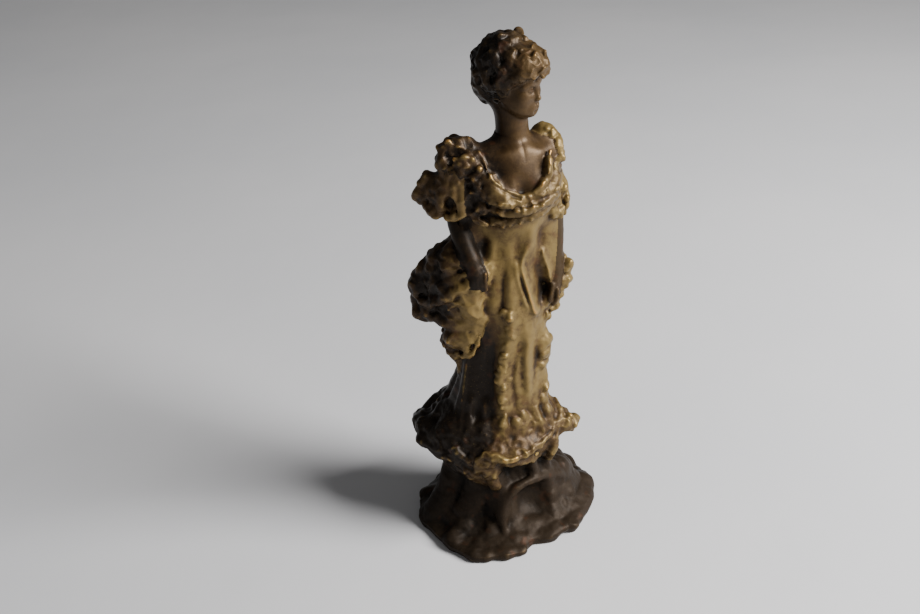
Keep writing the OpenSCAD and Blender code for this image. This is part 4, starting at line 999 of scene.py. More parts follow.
def makeSleeves(clay):
    right, left = [Tool(clay, f"{side}_sleeve_ruffle", neck) for side in ("right", "left")]
    right.ropes([[(-23, -9, -13, 6.4), (-26.5, -9.5, -20, 6.8), (-28.5, -10, -27, 6.4)],
                [(-30, -8, -19, 4.6), (-35, -7, -24, 4.4), (-38.6, -5.5, -27.5, 3.8)],
                [(-27, -3, -20, 5.4), (-30, -3, -27, 5.2)], [(-19, -11, -20, 5), (-20, -12, -28, 5)]], 4.0)
    # long smooth folds that open into the frill
    for x0, y0, x1, y1, z1, radius in ((-27, -13.8, -31.5, -14.0, -31, 1.5),
                                       (-24.2, -14.8, -25.6, -17, -32.5, 1.5),
                                       (-29.5, -12, -35.5, -10, -30, 1.6),
                                       (-21.6, -15, -21.6, -17.4, -31.5, 1.4)):
        right.rope([(x0, y0, -12, radius * 0.5), ((x0 + x1) / 2 - 0.3, (y0 + y1) / 2 - 0.6, -22, radius),
                    (x1, y1, z1, radius)], 2.0)
    right.blob((-27.2, -18.0, -28.0), (2.8, 4.2, 4.0), 1.4, hollow=True)   # mouth of the sleeve
    right.frill([(-21, -17, -32, 1.2), (-25, -17, -34, 1.3), (-30, -14, -34, 1.4),
                 (-35.5, -9.5, -32.5, 1.5),
                 (-39.8, -5.5, -29, 1.7), (-39.4, -5.5, -23.5, 1.7), (-36.5, -6.5, -18.5, 1.5)], 0.8, 6,
                seed=65, soft=1.2,
               centre=(-24, -8))
    right.ropes([[(-34.5, -6.5, -20, 2.8), (-37.8, -6, -18.6, 2.5)],
                 [(-38, -5, -27, 3.4), (-41.2, -4.5, -29.5, 2.6)]], 1.5)
    right.pebbles([(-37, -7, -19), (-41, -6, -25), (-39, -8, -31), (-34, -12, -33)], 26, (1.0, 2.1), 1.2,
                  seed=66, soft=1.1, sink=0.35)
    right.pebbles([(-38, -2, -22), (-33, 2, -27), (-26, 3, -26)], 22, (1.4, 2.8), 1.8, seed=67, soft=1.4,
                  sink=0.35)
    # left puff
    left.ropes([[(17, 8, -23, 5.4), (19, 8, -29, 5.6), (18.6, 7, -35, 5.4)],
                [(18.5, 9, -23, 4.2), (21, 9, -29, 4.6), (20.4, 8, -35, 4.4), (19, 4, -37, 3.8),
                 (17.0, 2, -31, 4.4)],
                [(16, 12, -25, 5.0), (18, 12.5, -31, 5.2), (19, 11.5, -36, 4.4)]], 2.5)
    left.pebbles([(19, 0, -25), (24, 4, -29), (24, 4, -35), (19, -1, -37), (17.5, -2, -31)],
                 44, (0.9, 1.9), 1.6, seed=68, soft=1.0, sink=0.35)
    left.frill([(16, -2.0, -36, 1.0), (20, -0.5, -39, 1.2), (23.5, 4.5, -39.5, 1.3), (24, 10, -39, 1.3),
                (20, 15, -38, 1.3)],
               0.7, 6, seed=69, soft=1.2, centre=(19, 8))


# ---- overskirt ----

def makePanniers(clay):
    right, left, tail = [Tool(clay, n, waist) for n in ("right_pannier", "left_pannier",
                                                        "right_pannier_tail")]
    # right: a high gathered mass behind the arm, a lit roll under it and a smooth bulge by the skirt
    right.ropes([[(-19, -6, 10, 4), (-23, -2, -2, 8), (-29, 1, -13, 10), (-31.5, -1, -23, 10)],
                [(-17, 6, -4, 8), (-24, 8, -12, 9.5), (-28, 7, -24, 9.5)],
                [(-12, 12, -10, 7), (-8, 14, -20, 7), (-18, 12, -24, 8)],
                [(-15, -8, -6, 6.5), (-21, -9, -13, 8.5), (-27, -8, -21, 9), (-24, -8, -29, 8)],
                [(-20, -10, -2, 5), (-28, -6, -6, 6.5), (-34, -3, -14, 7)]], 6.0)
    right.ropes([[(-13, -14.0, -31, 2.4), (-19, -14.4, -33.5, 2.8), (-27, -12.3, -34.5, 3.2),
                  (-34, -7, -35, 3.4), (-38, -1, -34, 3.6),
                 (-36.6, 7, -33, 4.4), (-28, 13, -32, 4.8), (-16, 17, -29, 4.8), (-4, 18, -27, 4.6)]], 2.2)
    # folds drawn to the hand across the gathered mass, and the creases between them
    for rows, radius in (([(-17, -14.5, -4), (-23, -13.6, -4), (-30, -10, -8), (-36, -5, -14)], 1.3),
                         ([(-18, -12, 2), (-24, -8.5, 2), (-30, -5, -3), (-34, 1, -8)], 1.2),
                         ([(-19, -16, -15), (-26, -14.6, -20), (-33, -11.5, -25)], 1.0)):
        right.rope([(*r, radius * (0.6 if n in (0, len(rows) - 1) else 1)) for n, r in enumerate(rows)],
                   3.0)
    right.pebbles([(-26, -8, 1), (-36, -4, -9), (-43, -3, -17), (-44, 0, -24), (-40, -5, -34)],
                 44, (1.8, 3.8), 2.6, seed=71, soft=2.4, sink=0.55)
    right.pebbles([(-24, -16, -4), (-31, -13, -11), (-36, -10, -19)], 34, (1.4, 3.2), 2.8, seed=78,
                  soft=2.2, sink=0.6)
    right.pebbles([(-34, -11, -30), (-40, -6, -30)], 14, (1.2, 2.4), 1.6, seed=72, soft=1.6, sink=0.6)
    # the lit roll, drawn down and out from the hand, the knob at its end and the smooth bulge under it
    right.ropes([[(-15.5, -18.0, -8, 1.6), (-20, -18.6, -12, 2.3), (-25.5, -17.6, -16.6, 2.8),
                  (-31, -15.2, -21.4, 3.1),
                 (-36.5, -11.0, -25.6, 3.0), (-40.5, -5.5, -27, 2.8)]], 1.3)
    right.rope([(-19, -18.2, -6.5, 0.8), (-26, -16.6, -10.5, 1.2), (-33, -12.6, -16.5, 1.2),
                (-38, -7, -21, 0.8)], 2.2)
    right.blob((-42.6, -3.5, -22.5), (3.6, 3.6, 3.8), 2.0)
    right.ropes([[(-11.5, -13.0, -6, 4.0), (-15.0, -14.6, -12, 5.6), (-17.0, -14.6, -19, 6.6),
                  (-17.0, -14.0, -26, 6.4),
                 (-13.5, -13.0, -31, 4.6)]], 2.4)
    right.rope([(-20, -19.0, -18, 0.8), (-25, -17.6, -23, 1.2), (-30, -14.6, -28.5, 1.4)], 1.8)
    right.pebbles([(-40, 4, -20), (-32, 14, -22), (-20, 19, -20), (-6, 19, -20)], 50, (1.4, 3.6), 3.0,
                  seed=73, soft=1.8, sink=0.4)
    for k in range(7):                      # gathers behind, drawn in under the back of the waist
        t = math.radians(70 + 14 * k)
        c, s = math.cos(t), math.sin(t)
        (right if k > 1 else left).rope([(13 * c, 10.5 * s, 2, 1.2), (19 * c - 2, 15.5 * s, -8, 2.4),
                                         (24 * c - 4, 19 * s, -18, 3.0),
                   (23 * c - 4, 18.6 * s, -28, 2.6)], 2.4)
    # tail: a puff with a swirl in it and a knob below
    tail.ropes([[(-16, -12, -37, 5.0), (-22, -10, -42, 6.4), (-24.5, -5, -46, 7.0), (-24, -3, -53, 5.8),
                 (-22.5, -4, -59, 4.2),
                 (-22.4, -5, -63.5, 2.8)],
                [(-23, 5, -45, 6), (-16, 12, -45, 5.8), (-7, 15, -44, 5.0)]], 4.0)
    tail.blob((-24.4, -11.0, -43.2), (6.0, 3.8, 4.8), 2.2)
    swirl = [(-24.8 + (4.6 - 0.48 * t) * math.cos(t), -14.9 + 0.05 * t,
              -43.2 + (3.4 - 0.36 * t) * math.sin(t), 0.95 - 0.03 * t)
             for t in np.linspace(0, 7.4, 20)]
    tail.rope(swirl, 0.9)
    tail.rope([(-15.5, -14.2, -37, 1.6), (-18, -15.2, -41, 1.7), (-19.5, -14.4, -46, 1.6),
               (-20, -12.5, -51, 1.2)], 1.8)
    tail.rope([(-13.6, -15.4, -41, 0.8), (-15.0, -15.4, -46, 1.0), (-17.5, -14.6, -50.5, 1.0),
               (-21.4, -12.4, -53, 1.0)], 1.2)
    tail.blob((-24.8, -8.5, -54.2), (2.8, 2.6, 2.6), 1.3)
    tail.pebbles([(-30, -8, -42), (-29, -8, -49), (-26, -9, -57)], 24, (0.9, 1.9), 1.5, seed=74, soft=1.1,
                 sink=0.4)
    tail.pebbles([(-26, 8, -46), (-16, 16, -46), (-6, 18, -45)], 26, (1.4, 3.0), 2.0, seed=75, soft=1.5,
                 sink=0.4)
    # left
    left.ropes([[(14, 10, -5, 6), (17.5, 10, -14, 6.8), (18, 9, -22, 6.8), (15, 11, -28, 6.6)],
                [(20.5, 9, -9, 4.2), (22.4, 8, -15, 4.4), (21.8, 8, -22, 4.4), (19.5, 7, -28, 4.4),
                 (16.4, 4, -35.0, 4.0),
                 (14.0, 1, -39.0, 3.4)],
                [(16, 1, -28, 4), (16, 6, -34, 4.4), (12.0, 11, -34, 5.0), (5, 16, -30, 5.2)]], 3.5)
    left.pebbles([(26, 7, -9), (26.4, 6, -14), (25.6, 6, -20), (23.8, 5, -27), (20, 3, -33.5),
                  (16.5, -1, -38.5)],
                 44, (1.1, 2.2), 1.3, seed=76, soft=1.1, sink=0.3)
    left.pebbles([(24, 14, -10), (22, 17, -20), (14, 20, -26)], 28, (1.4, 3.2), 2.2, seed=77, soft=1.6,
                 sink=0.4)


# ---- head ----

headSizes = {"yaw": 62.0, "chin": 9.5, "third": 7.0, "locks": 13, "seed": 81}


def inHead(x, y, z, *rest):  # a spot in the head's own frame: the face looks along -y
    u, v = turn(x, y, headSizes["yaw"])
    return (u - 0.5, v, z, *rest)


def makeFace(clay):
    h = headSizes
    tool = Tool(clay, "head", neck)
    yaw = h["yaw"]
    chin, third = h["chin"], h["third"]
    noseBase, brow = chin + third, chin + 2 * third
    eye = brow - 1.7
    at = inHead
    # neck, skull, jaw and cheeks
    tool.loft([(neck - 3, -0.5, 0.2, 7.9, 7.7, 25), (neck, -0.5, 0.3, 7.6, 7.5, 25),
               (neck + 3, -0.7, 0.4, 7.3, 7.3, 25), (neck + 8, -1.2, 0.6, 7.4, 7.4, 25),
               (neck + 14, -2.2, 1.0, 8.2, 7.8, 25), (neck + 20, -3.0, 1.0, 8.4, 8.0, 25)], 2.5)
    tool.blob(at(0, 0.6, 27.0), (9.6, 11.6, 10.8), 2.0, yaw=yaw)
    tool.blob(at(0, -2.6, 21.0), (8.7, 9.3, 9.8), 3.0, yaw=yaw)
    tool.rope([at(-6.4, -0.5, 17.5, 2.6), at(-4.8, -5.4, 13.0, 2.6), at(0, -8.3, chin + 2.2, 2.5),
               at(4.8, -5.4, 13.0, 2.6),
               at(6.4, -0.5, 17.5, 2.6)], 3.0)
    tool.blob(at(0, -6.0, 14.5), (5.6, 4.8, 4.8), 3.0, yaw=yaw)
    tool.blob(at(0, -9.0, chin + 2.1), (2.2, 1.7, 1.7), 2.6, yaw=yaw)
    for side in (-1, 1):
        tool.blob(at(4.8 * side, -7.2, noseBase + 1.8), (2.8, 2.6, 3.0), 3.0, yaw=yaw)
        tool.blob(at(3.7 * side, -12.6, eye + 0.1), (2.5, 2.2, 1.8), 2.4, yaw=yaw, hollow=True)
        tool.rope([at(1.4 * side, -10.8, brow + 0.2, 0.8), at(4.0 * side, -10.4, brow + 0.9, 0.9),
                   at(6.6 * side, -8.4, brow + 0.1, 0.8)], 1.8)
        # eyeball and lids
        tool.blob(at(3.6 * side, -9.2, eye), (1.8, 1.5, 1.25), 0.5, yaw=yaw)
        tool.rope([at(2.0 * side, -10.0, eye - 0.1, 0.28), at(3.5 * side, -10.75, eye + 0.72, 0.34),
                   at(5.3 * side, -9.4, eye + 0.1, 0.28)], 0.5)
        tool.rope([at(2.0 * side, -10.0, eye - 0.2, 0.22), at(3.5 * side, -10.5, eye - 0.75, 0.26),
                   at(5.3 * side, -9.4, eye, 0.22)], 0.5)
        # wing of the nose
        tool.blob(at(1.0 * side, -11.4, noseBase + 0.8), (0.75, 0.85, 0.7), 0.8, yaw=yaw)
    tool.rope([at(0, -10.6, brow - 0.2, 1.0), at(0, -11.2, eye - 1.0, 0.9),
               at(0, -11.9, noseBase + 2.4, 0.95), at(0, -12.4, noseBase + 1.2, 1.05)], 1.6)
    # mouth: two lips with a parting between, and a soft hollow over the chin
    lips = chin + third * 0.60
    tool.blob(at(0, -9.9, lips), (2.9, 1.7, 1.8), 2.0, yaw=yaw)
    tool.rope([at(-1.9, -10.6, lips + 0.25, 0.3), at(-0.7, -11.35, lips + 0.62, 0.48),
               at(0.7, -11.35, lips + 0.62, 0.48),
               at(1.9, -10.6, lips + 0.25, 0.3)], 0.7)
    tool.rope([at(-1.6, -10.7, lips - 0.4, 0.3), at(0, -11.25, lips - 0.68, 0.55),
               at(1.6, -10.7, lips - 0.4, 0.3)], 0.7)
    tool.rope([at(-2.1, -10.9, lips, 0.16), at(0, -12.0, lips, 0.18), at(2.1, -10.9, lips, 0.16)], 0.35,
              hollow=True)
    tool.blob(at(0, -11.6, lips - 2.0), (1.6, 0.8, 0.7), 1.2, yaw=yaw, hollow=True)
    tool.rope([at(0, -12.2, noseBase - 0.5, 0.25), at(0, -12.0, lips + 1.3, 0.28)], 0.8, hollow=True)
    # ears
    for side in (-1, 1):
        tool.rope([at(8.4 * side, -0.2, 16.6, 0.9), at(8.9 * side, 1.2, 18.5, 0.8),
                   at(9.2 * side, 1.4, 21, 0.8), at(8.9 * side, -0.4, 22.4, 0.7)], 0.9)


def makeHair(clay):
    h = headSizes
    tool = Tool(clay, "hair", neck)
    yaw = h["yaw"]
    at = inHead
    rng = np.random.default_rng(h["seed"])
    # mass of the upswept hair: full behind, with a lower roll over the brow
    tool.blob(at(0, 4.0, 29.5), (12.8, 13.8, 12.9), 1.2, yaw=yaw)
    tool.blob(at(0, -6.0, 32.0), (11.0, 8.4, 7.6), 3.0, yaw=yaw)
    tool.blob(at(0, 7.0, 20.5), (9.0, 7.2, 8.5), 4.0, yaw=yaw)
    tool.rope([at(-9.4, -5.5, 28.0, 3.0), at(-7.0, -10.2, 31.0, 3.2), at(-2.5, -12.6, 32.4, 3.2),
               at(2.5, -12.6, 32.0, 3.2),
               at(7.0, -10.2, 31.0, 3.2), at(9.6, -5.0, 28.0, 3.0)], 2.0)
    # waving locks drawn up from the nape and temples to the crown
    for k in range(h["locks"]):
        t = math.radians(-30 + 240 * k / (h["locks"] - 1))
        c, s = math.cos(t), math.sin(t)
        low = 13.5 + 6.0 * (1 - max(0, s))
        wave = rng.uniform(0.10, 0.18) * (1 if k % 2 else -1)
        width = rng.uniform(2.2, 2.9)
        rows = []
        for n, (r, z) in enumerate(((0.66, low), (0.90, low + 4.5), (0.99, low + 9), (1.0, low + 13),
                                    (0.95, low + 17), (0.80, 36.5), (0.56, 39.6),
                                    (0.30, 41.0))):
            a = t + wave * math.sin(n * 1.5 + k)
            rows.append(at(12.0 * r * math.cos(a), 4.0 + 13.0 * r * math.sin(a), z,
                           width * (0.6 if n in (0, 7) else 1.0) * rng.uniform(0.85, 1.15)))
        tool.rope(rows, 1.4)
    # the knot on the crown
    for k in range(2):
        r = 5.0 - 2.2 * k
        tool.rope([at(r * math.cos(t), 4.5 + r * math.sin(t), 40.2 + 1.3 * k + 0.1 * t,
                      2.0) for t in np.linspace(0.4, 6.4, 10)], 0.9)
    # curls along the brow and at the ears
    spots = [(-10.2, -4.0, 25.6), (-9.0, -8.6, 28.8), (-5.6, -12.6, 30.2), (-1.9, -14.6, 30.8),
             (2.2, -14.6, 30.2), (5.9, -12.6, 30.6),
             (9.2, -8.6, 29.0), (10.4, -3.8, 25.8), (-7.4, -9.2, 34.6), (-2.6, -12.2, 35.6),
             (2.8, -12.2, 35.2), (7.4, -9.2, 34.6),
             (-10.4, -0.6, 21.4), (10.4, -0.6, 21.2), (-9.8, 2.8, 17.6), (9.8, 2.8, 17.4),
             (-5.0, -6.4, 37.6), (0.4, -8.6, 37.4), (5.4, -6.2, 37.6),
             (11.6, 1.6, 27.0), (-11.6, 1.6, 27.0), (11.4, 6.4, 23.0), (-11.4, 6.4, 23.0)]
    for n, (x, y, z) in enumerate(spots):
        out = np.array([x, y - 2.0, (z - 30) * 0.6])
        out = out / np.linalg.norm(out)
        side = np.cross(out, [0, 0, 1.0])
        side /= np.linalg.norm(side)
        up = np.cross(side, out)
        size = (2.7 if n < 12 else 2.1) * rng.uniform(0.85, 1.15)
        phase, way = rng.uniform(0, 6.28), 1 if n % 2 else -1
        centre = np.array([x, y, z])
        tool.blob(at(*(centre - out * 1.4)), (size * 1.05, size * 1.05, size * 1.05), 1.4, yaw=yaw)
        coil = []
        for t in np.linspace(0, 5.4, 12):
            r = size * (1.0 - 0.12 * t)
            p = centre + out * (0.1 + 0.16 * t) + side * r * math.cos(phase + way
                                                                      * t) + up * r * math.sin(phase
                                                                              + way * t)
            coil.append(at(*p, 1.05 - 0.07 * t))
        tool.rope(coil, 0.6)
    # loose lumps and strands between the curls
    tool.pebbles([at(-10, -2, 32), at(0, 4, 42), at(10, -2, 32)], 24, (1.0, 2.2), 2.6, seed=82, soft=1.0,
                 sink=0.45)
    tool.pebbles([at(-12, 8, 28), at(0, 17, 30), at(12, 8, 28)], 34, (1.2, 2.6), 2.6, seed=83, soft=1.2,
                 sink=0.45)
    tool.pebbles([at(-9, 8, 18), at(0, 14, 18), at(9, 8, 18)], 20, (0.9, 1.9), 2.0, seed=84, soft=1.2,
                 sink=0.55)


# ---- build the body and the head ----

body = Clay([-52, -50, -2], [50, 56, neck + 4], quality["bodyCell"])
say(f"clay {body.size}")
for step in (makePlate, makeMound, makeSkirt, makeBodice, makeBust, makeArms, makePanniers, makeHem,
             makeBertha, makeSleeves, makeBows):
    step(body)
    say(step.__name__)
body.roughen([
    (6.0, 1, False, {"base_plate": 0.26, "rock_mound": 0.30, "hem_flounce": 0.40, "skirt": 0.14,
                     "right_pannier": 0.5,
                     "left_pannier": 0.35, "right_pannier_tail": 0.4}),
    (2.6, 2, True, {"base_plate": 0.06, "rock_mound": 0.05, "hem_flounce": 0.20, "skirt": 0.05,
                    "bertha_collar": 0.22,
                    "right_pannier": 0.26, "left_pannier": 0.24, "right_pannier_tail": 0.26,
                    "right_shoulder_bow": 0.24,
                    "left_shoulder_bow": 0.24, "right_sleeve_ruffle": 0.18, "left_sleeve_ruffle": 0.24}),
    (1.3, 3, False, {"base_plate": 0.05, "rock_mound": 0.05, "hem_flounce": 0.11, "skirt": 0.05,
                     "bodice": 0.02, "bertha_collar": 0.10,
                     "right_pannier": 0.09, "left_pannier": 0.10, "right_pannier_tail": 0.10,
                     "right_shoulder_bow": 0.10,
                     "left_shoulder_bow": 0.10, "right_sleeve_ruffle": 0.07, "left_sleeve_ruffle": 0.10,
                     "right_arm": 0.03,
                     "left_arm": 0.03}),
])
body.fill(3.6, 0.74)
say("relief")

# pocket under the plate, for the nut and washer
underside = {"pocket": 11.0, "roof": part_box("tie_washer")[1].z * 1000, "foot": 0.8}


def makePocket(clay):
    u = underside
    cells, x, y, z = clay.part([-16, -16, -2], [16, 16, u["roof"] + 3])
    d = np.maximum(np.sqrt(x * x + y * y) - u["pocket"], z - u["roof"])
    clay.carve(cells, d.astype(np.float32), 0.8)
    # the plate is dished underneath and stands on its rim
    cells, x, y, z = clay.part([-52, -50, -2], [50, 56, 4])
    p = plateSizes
    r = np.sqrt(((x - p["centre"][0]) / p["radius"][0]) ** 2 + ((y - p["centre"][1]) / p["radius"][1]) ** 2)
    roof = u["foot"] * np.clip((0.80 - r) / 0.08, 0, 1) + 0.02
    clay.field[cells] = np.maximum(clay.field[cells], roof - z)


makePocket(body)
bodySkin = skin(body)
say(f"body skinned, {len(bodySkin['quads'])} faces")
settle(bodySkin)
say("borders settled")

head = Clay([-27, -25, neck - 2], [27, 26, crown + 5], quality["headCell"])
makeFace(head)
makeHair(head)
head.roughen([(3.6, 4, True, {"hair": 0.34}), (2.0, 5, True, {"hair": 0.16}),
              (1.1, 6, False, {"hair": 0.07, "head": 0.012})])
head.fill(2.4, 0.76)
headSkin = skin(head)
say(f"head skinned, {len(headSkin['quads'])} faces")
settle(headSkin, 3, 400)


def heights(surface):
    return surface["points"][surface["quads"]].mean(1)[:, 2]


pieces = {}
for name in pieceNames[1:17]:
    keep = heights(bodySkin) < neck + 0.4 if name == "bust" else None
    pieces[name] = cutOut(bodySkin, name, keep)
for name in ("head", "hair"):
    pieces[name] = cutOut(headSkin, name, heights(headSkin) > neck - 0.1)
say("pieces cut out")


# ---- finishes ----

class Wire:  # a shader socket that can stand in sums
    def __init__(self, finish, socket):
        self.finish, self.socket = finish, socket

    def do(self, operation, a, b):
        return self.finish.node("ShaderNodeMath", {"operation": operation}, {0: a, 1: b})

    def __add__(self, other):
        return self.do("ADD", self, other)

    def __radd__(self, other):
        return self.do("ADD", other, self)

    def __sub__(self, other):
        return self.do("SUBTRACT", self, other)

    def __rsub__(self, other):
        return self.do("SUBTRACT", other, self)

    def __mul__(self, other):
        return self.do("MULTIPLY", self, other)

    def __rmul__(self, other):
        return self.do("MULTIPLY", other, self)

    def above(self, low, high):  # 0 below low, 1 above high, smooth between
        return self.finish.node("ShaderNodeMapRange", {"interpolation_type": "SMOOTHSTEP"},
                                {"Value": self, "From Min": low, "From Max": high, "To Min": 0.0,
                                 "To Max": 1.0})


class Finish:  # a material under construction
    def __init__(self, name):
        self.material = bpy.data.materials.new(name)
        self.material.use_nodes = True
        self.tree = self.material.node_tree
        self.tree.nodes.clear()
        self.place = self.node("ShaderNodeTexCoord", out="Object")

    def node(self, kind, settings=None, values=None, out=0):
        made = self.tree.nodes.new(kind)
        for key, value in (settings or {}).items():
            setattr(made, key, value)
        for key, value in (values or {}).items():
            socket = made.inputs[key]
            if isinstance(value, Wire):
                self.tree.links.new(value.socket, socket)
            elif isinstance(value, tuple) and len(value) == 3 and socket.type == "RGBA":
                socket.default_value = (*value, 1)
            else:
                socket.default_value = value
        return Wire(self, made.outputs[out])

    def noise(self, scale, detail=3.0, rough=0.55, warp=0.0):
        return self.node("ShaderNodeTexNoise", {"noise_dimensions": "3D"},
                         {"Vector": self.place, "Scale": scale, "Detail": detail, "Roughness": rough,
                          "Distortion": warp})

    def attribute(self, name):
        return self.node("ShaderNodeAttribute", {"attribute_name": name}, out="Fac")

    def mix(self, factor, a, b):
        made = self.tree.nodes.new("ShaderNodeMix")
        made.data_type = "RGBA"
        made.clamp_factor = True
        colours = [s for s in made.inputs if s.type == "RGBA"]
        for socket, value in ((made.inputs[0], factor), (colours[0], a), (colours[1], b)):
            if isinstance(value, Wire):
                self.tree.links.new(value.socket, socket)
            else:
                socket.default_value = (*value, 1) if isinstance(value, tuple) else value
        return Wire(self, [s for s in made.outputs if s.type == "RGBA"][0])

    def bump(self, height, distance, strength=1.0):
        return self.node("ShaderNodeBump", {}, {"Strength": strength, "Distance": distance,
                                                "Height": height})

    def shade(self, values):
        surface = self.node("ShaderNodeBsdfPrincipled", {}, values)
        end = self.tree.nodes.new("ShaderNodeOutputMaterial")
        self.tree.links.new(surface.socket, end.inputs["Surface"])
        return self.material


def tone(r, g, b):  # a screen colour, 0 to 255, as scene light
    def light(c):
        return c / 12.92 if c <= 0.04045 else ((c + 0.055) / 1.055) ** 2.4

    return tuple(light(c / 255) for c in (r, g, b))


patinas_and_painted_shade = {
    # screen colours from the recesses to the ridges, then:
    # side: how much darker the lady's right is, partly a darker patina and partly painted shade on the side
    # turned from the window lamp, setting in between two distances in metres
    # foot: the same near the ground; then the strength of a painted shadow in the hollow beside the front
    # edging, under the pannier tail
    # shift: raises or lowers the share of bright metal; gleam: strength of the plain reflection
    "gown": {"dark": (29, 21, 13), "brown": (68, 50, 28), "main": (112, 93, 54), "rubbed": (142, 121, 74),
             "gold": (164, 116, 58), "shift": -0.18, "side": 0.50, "from": 0.010, "to": 0.026, "foot": 0.26,
             "painted_shadow": 0.62,
             "rough": 0.46, "metal": 0.40, "gleam": 0.26},
    "collar": {"dark": (28, 20, 12), "brown": (64, 47, 27), "main": (96, 78, 46), "rubbed": (140, 118, 74),
               "gold": (166, 118, 60), "shift": -0.22, "side": 0.50, "from": 0.003, "to": 0.014,
               "rough": 0.44, "metal": 0.40, "gleam": 0.26},
    "sleeve": {"dark": (32, 23, 14), "brown": (76, 57, 34), "main": (112, 92, 56), "rubbed": (140, 118, 74),
               "gold": (160, 114, 60), "shift": -0.20, "side": 0.46, "from": 0.016, "to": 0.036,
               "rough": 0.46, "metal": 0.36, "gleam": 0.26},
    "pannier": {"dark": (27, 19, 12), "brown": (66, 48, 28), "main": (116, 96, 56),
                "rubbed": (146, 124, 78),
                "gold": (158, 112, 58), "shift": -0.11, "side": 0.64, "from": 0.018, "to": 0.032,
                "rough": 0.46, "metal": 0.36, "gleam": 0.26},
    "skin": {"dark": (28, 20, 13), "brown": (54, 39, 22), "main": (74, 56, 33), "rubbed": (110, 90, 56),
             "gold": (132, 100, 58), "shift": -0.24, "side": 0.50, "from": -0.004, "to": 0.010,
             "rough": 0.42, "metal": 0.36, "gleam": 0.24},
    "arms": {"dark": (27, 20, 13), "brown": (52, 38, 22), "main": (56, 43, 25), "rubbed": (84, 66, 40),
             "gold": (126, 94, 54), "shift": -0.18, "side": 0.70, "from": 0.000, "to": 0.012,
             "rough": 0.52, "metal": 0.34, "gleam": 0.20},
    "hair": {"dark": (22, 16, 11), "brown": (50, 37, 22), "main": (78, 60, 35), "rubbed": (118, 94, 54),
             "gold": (164, 120, 64), "shift": -0.16, "side": 0.66, "from": -0.009, "to": 0.008,
             "rough": 0.44, "metal": 0.38, "gleam": 0.24},
    "ground": {"dark": (18, 14, 10), "brown": (32, 25, 18), "main": (43, 34, 25), "rubbed": (84, 69, 49),
               "gold": (104, 70, 42), "shift": -0.16, "side": 0.34, "from": -0.006, "to": 0.020,
               "rough": 0.54, "metal": 0.30, "gleam": 0.12},
}


def bronze(name, p):
    f = Finish(name)
    dark, brown, main, rubbed, gold = [tone(*p[key]) for key in ("dark", "brown", "main", "rubbed", "gold")]
    edge, swell, depth = f.attribute("edge"), f.attribute("swell"), f.attribute("depth")
    cloud = f.noise(70, 4, 0.6, 0.4) - 0.5           # patches of about 15 mm
    mottle = f.noise(260, 4, 0.65, 0.6) - 0.5        # blotches of about 4 mm
    grain = f.noise(1500, 3, 0.6) - 0.5              # fine casting grain
    # recesses stay darkest as patina; the lady's right side, turned from the window lamp, is darker, partly
    # as patina and partly as painted shade; colour also darkens near the ground, and a painted shadow lies
    # in the hollow beside the front edging
    spot = f.node("ShaderNodeSeparateXYZ", {}, {"Vector": f.place})
    height = f.node("ShaderNodeSeparateXYZ", {}, {"Vector": f.place}, out="Z")
    shady = (0.0 - spot + cloud * 0.016).above(p["from"], p["to"]) * p["side"]
    shady = shady + (0.0 - height + cloud * 0.02).above(-0.088, -0.052) * p.get("foot", 0.0)
    # painted shadow: a mask of the hollow beside the front edging on the lady's right, under the pannier
    # tail
    hollow = (0.0 - spot + cloud * 0.008).above(0.002, 0.011) * (0.0 - height + cloud * 0.02).above(-0.122,
            -0.108)
    hollow = hollow * (height + cloud * 0.02).above(0.046, 0.062)
    shady = shady + hollow * p.get("painted_shadow", 0.0)
    # colour level: darker patina in recesses, lighter wear on edges and swellings, random patches, less the
    # painted shade set above
    wear_and_painted_shade = 1.0 - depth.above(0.42, 0.78) * 0.72 + swell * 0.42 + edge * 0.30
    wear_and_painted_shade = wear_and_painted_shade + cloud * 0.84 + mottle * 0.78 - shady + p["shift"]
    colour = f.mix(wear_and_painted_shade.above(0.18, 0.58), dark, brown)
    colour = f.mix(wear_and_painted_shade.above(0.50, 0.98), colour, main)
    worn = (edge * 0.8 + swell * 0.35 + mottle * 0.5 + cloud * 0.3).above(0.28, 0.75)
    colour = f.mix(worn * 0.85, colour, rubbed)
    glints = (edge * 1.1 + mottle * 1.4).above(0.46, 0.85)
    colour = f.mix(glints * 0.6, colour, gold)
    pits = (0.0 - edge - mottle * 0.6).above(0.12, 0.5)
    colour = f.mix(pits * 0.8, colour, dark)
    reddish = f.noise(150, 2, 0.5).above(0.60, 0.74)
    colour = f.mix(reddish * 0.28, colour, tone(78, 44, 26))
    speckle = grain.above(0.10, 0.24)
    colour = f.mix(speckle * 0.25, colour, rubbed)
    rough = p["rough"] + pits * 0.22 - worn * 0.10 + mottle * 0.16 + grain * 0.10
    metal = p["metal"] + worn * 0.35 - pits * 0.25
    fine = f.bump(grain * 0.5 + mottle * 0.6, 0.00018, 0.55)
    return f.shade({"Base Color": colour, "Roughness": rough, "Metallic": metal, "Normal": fine,
                    "Specular IOR Level": p["gleam"]})


def brightMetal(name, base, dull, rough):
    f = Finish(name)
    cloud, scratch = f.noise(320, 3) - 0.5, f.noise(1800, 2) - 0.5
    colour = f.mix((cloud + 0.1).above(0.0, 0.3), base, dull)
    return f.shade({"Base Color": colour, "Roughness": rough + cloud * 0.25 + scratch * 0.1,
                    "Metallic": 1.0,
                    "Normal": f.bump(scratch, 0.0001, 0.5)})


finishes = {key: bronze(f"bronze_{key}", p) for key, p in patinas_and_painted_shade.items()}
steel = brightMetal("dull_steel", tone(150, 150, 148), tone(98, 92, 84), 0.42)
brass = brightMetal("old_brass", tone(176, 148, 88), tone(110, 86, 48), 0.40)

# ---- threaded tie rod and washer, swept along curves ----

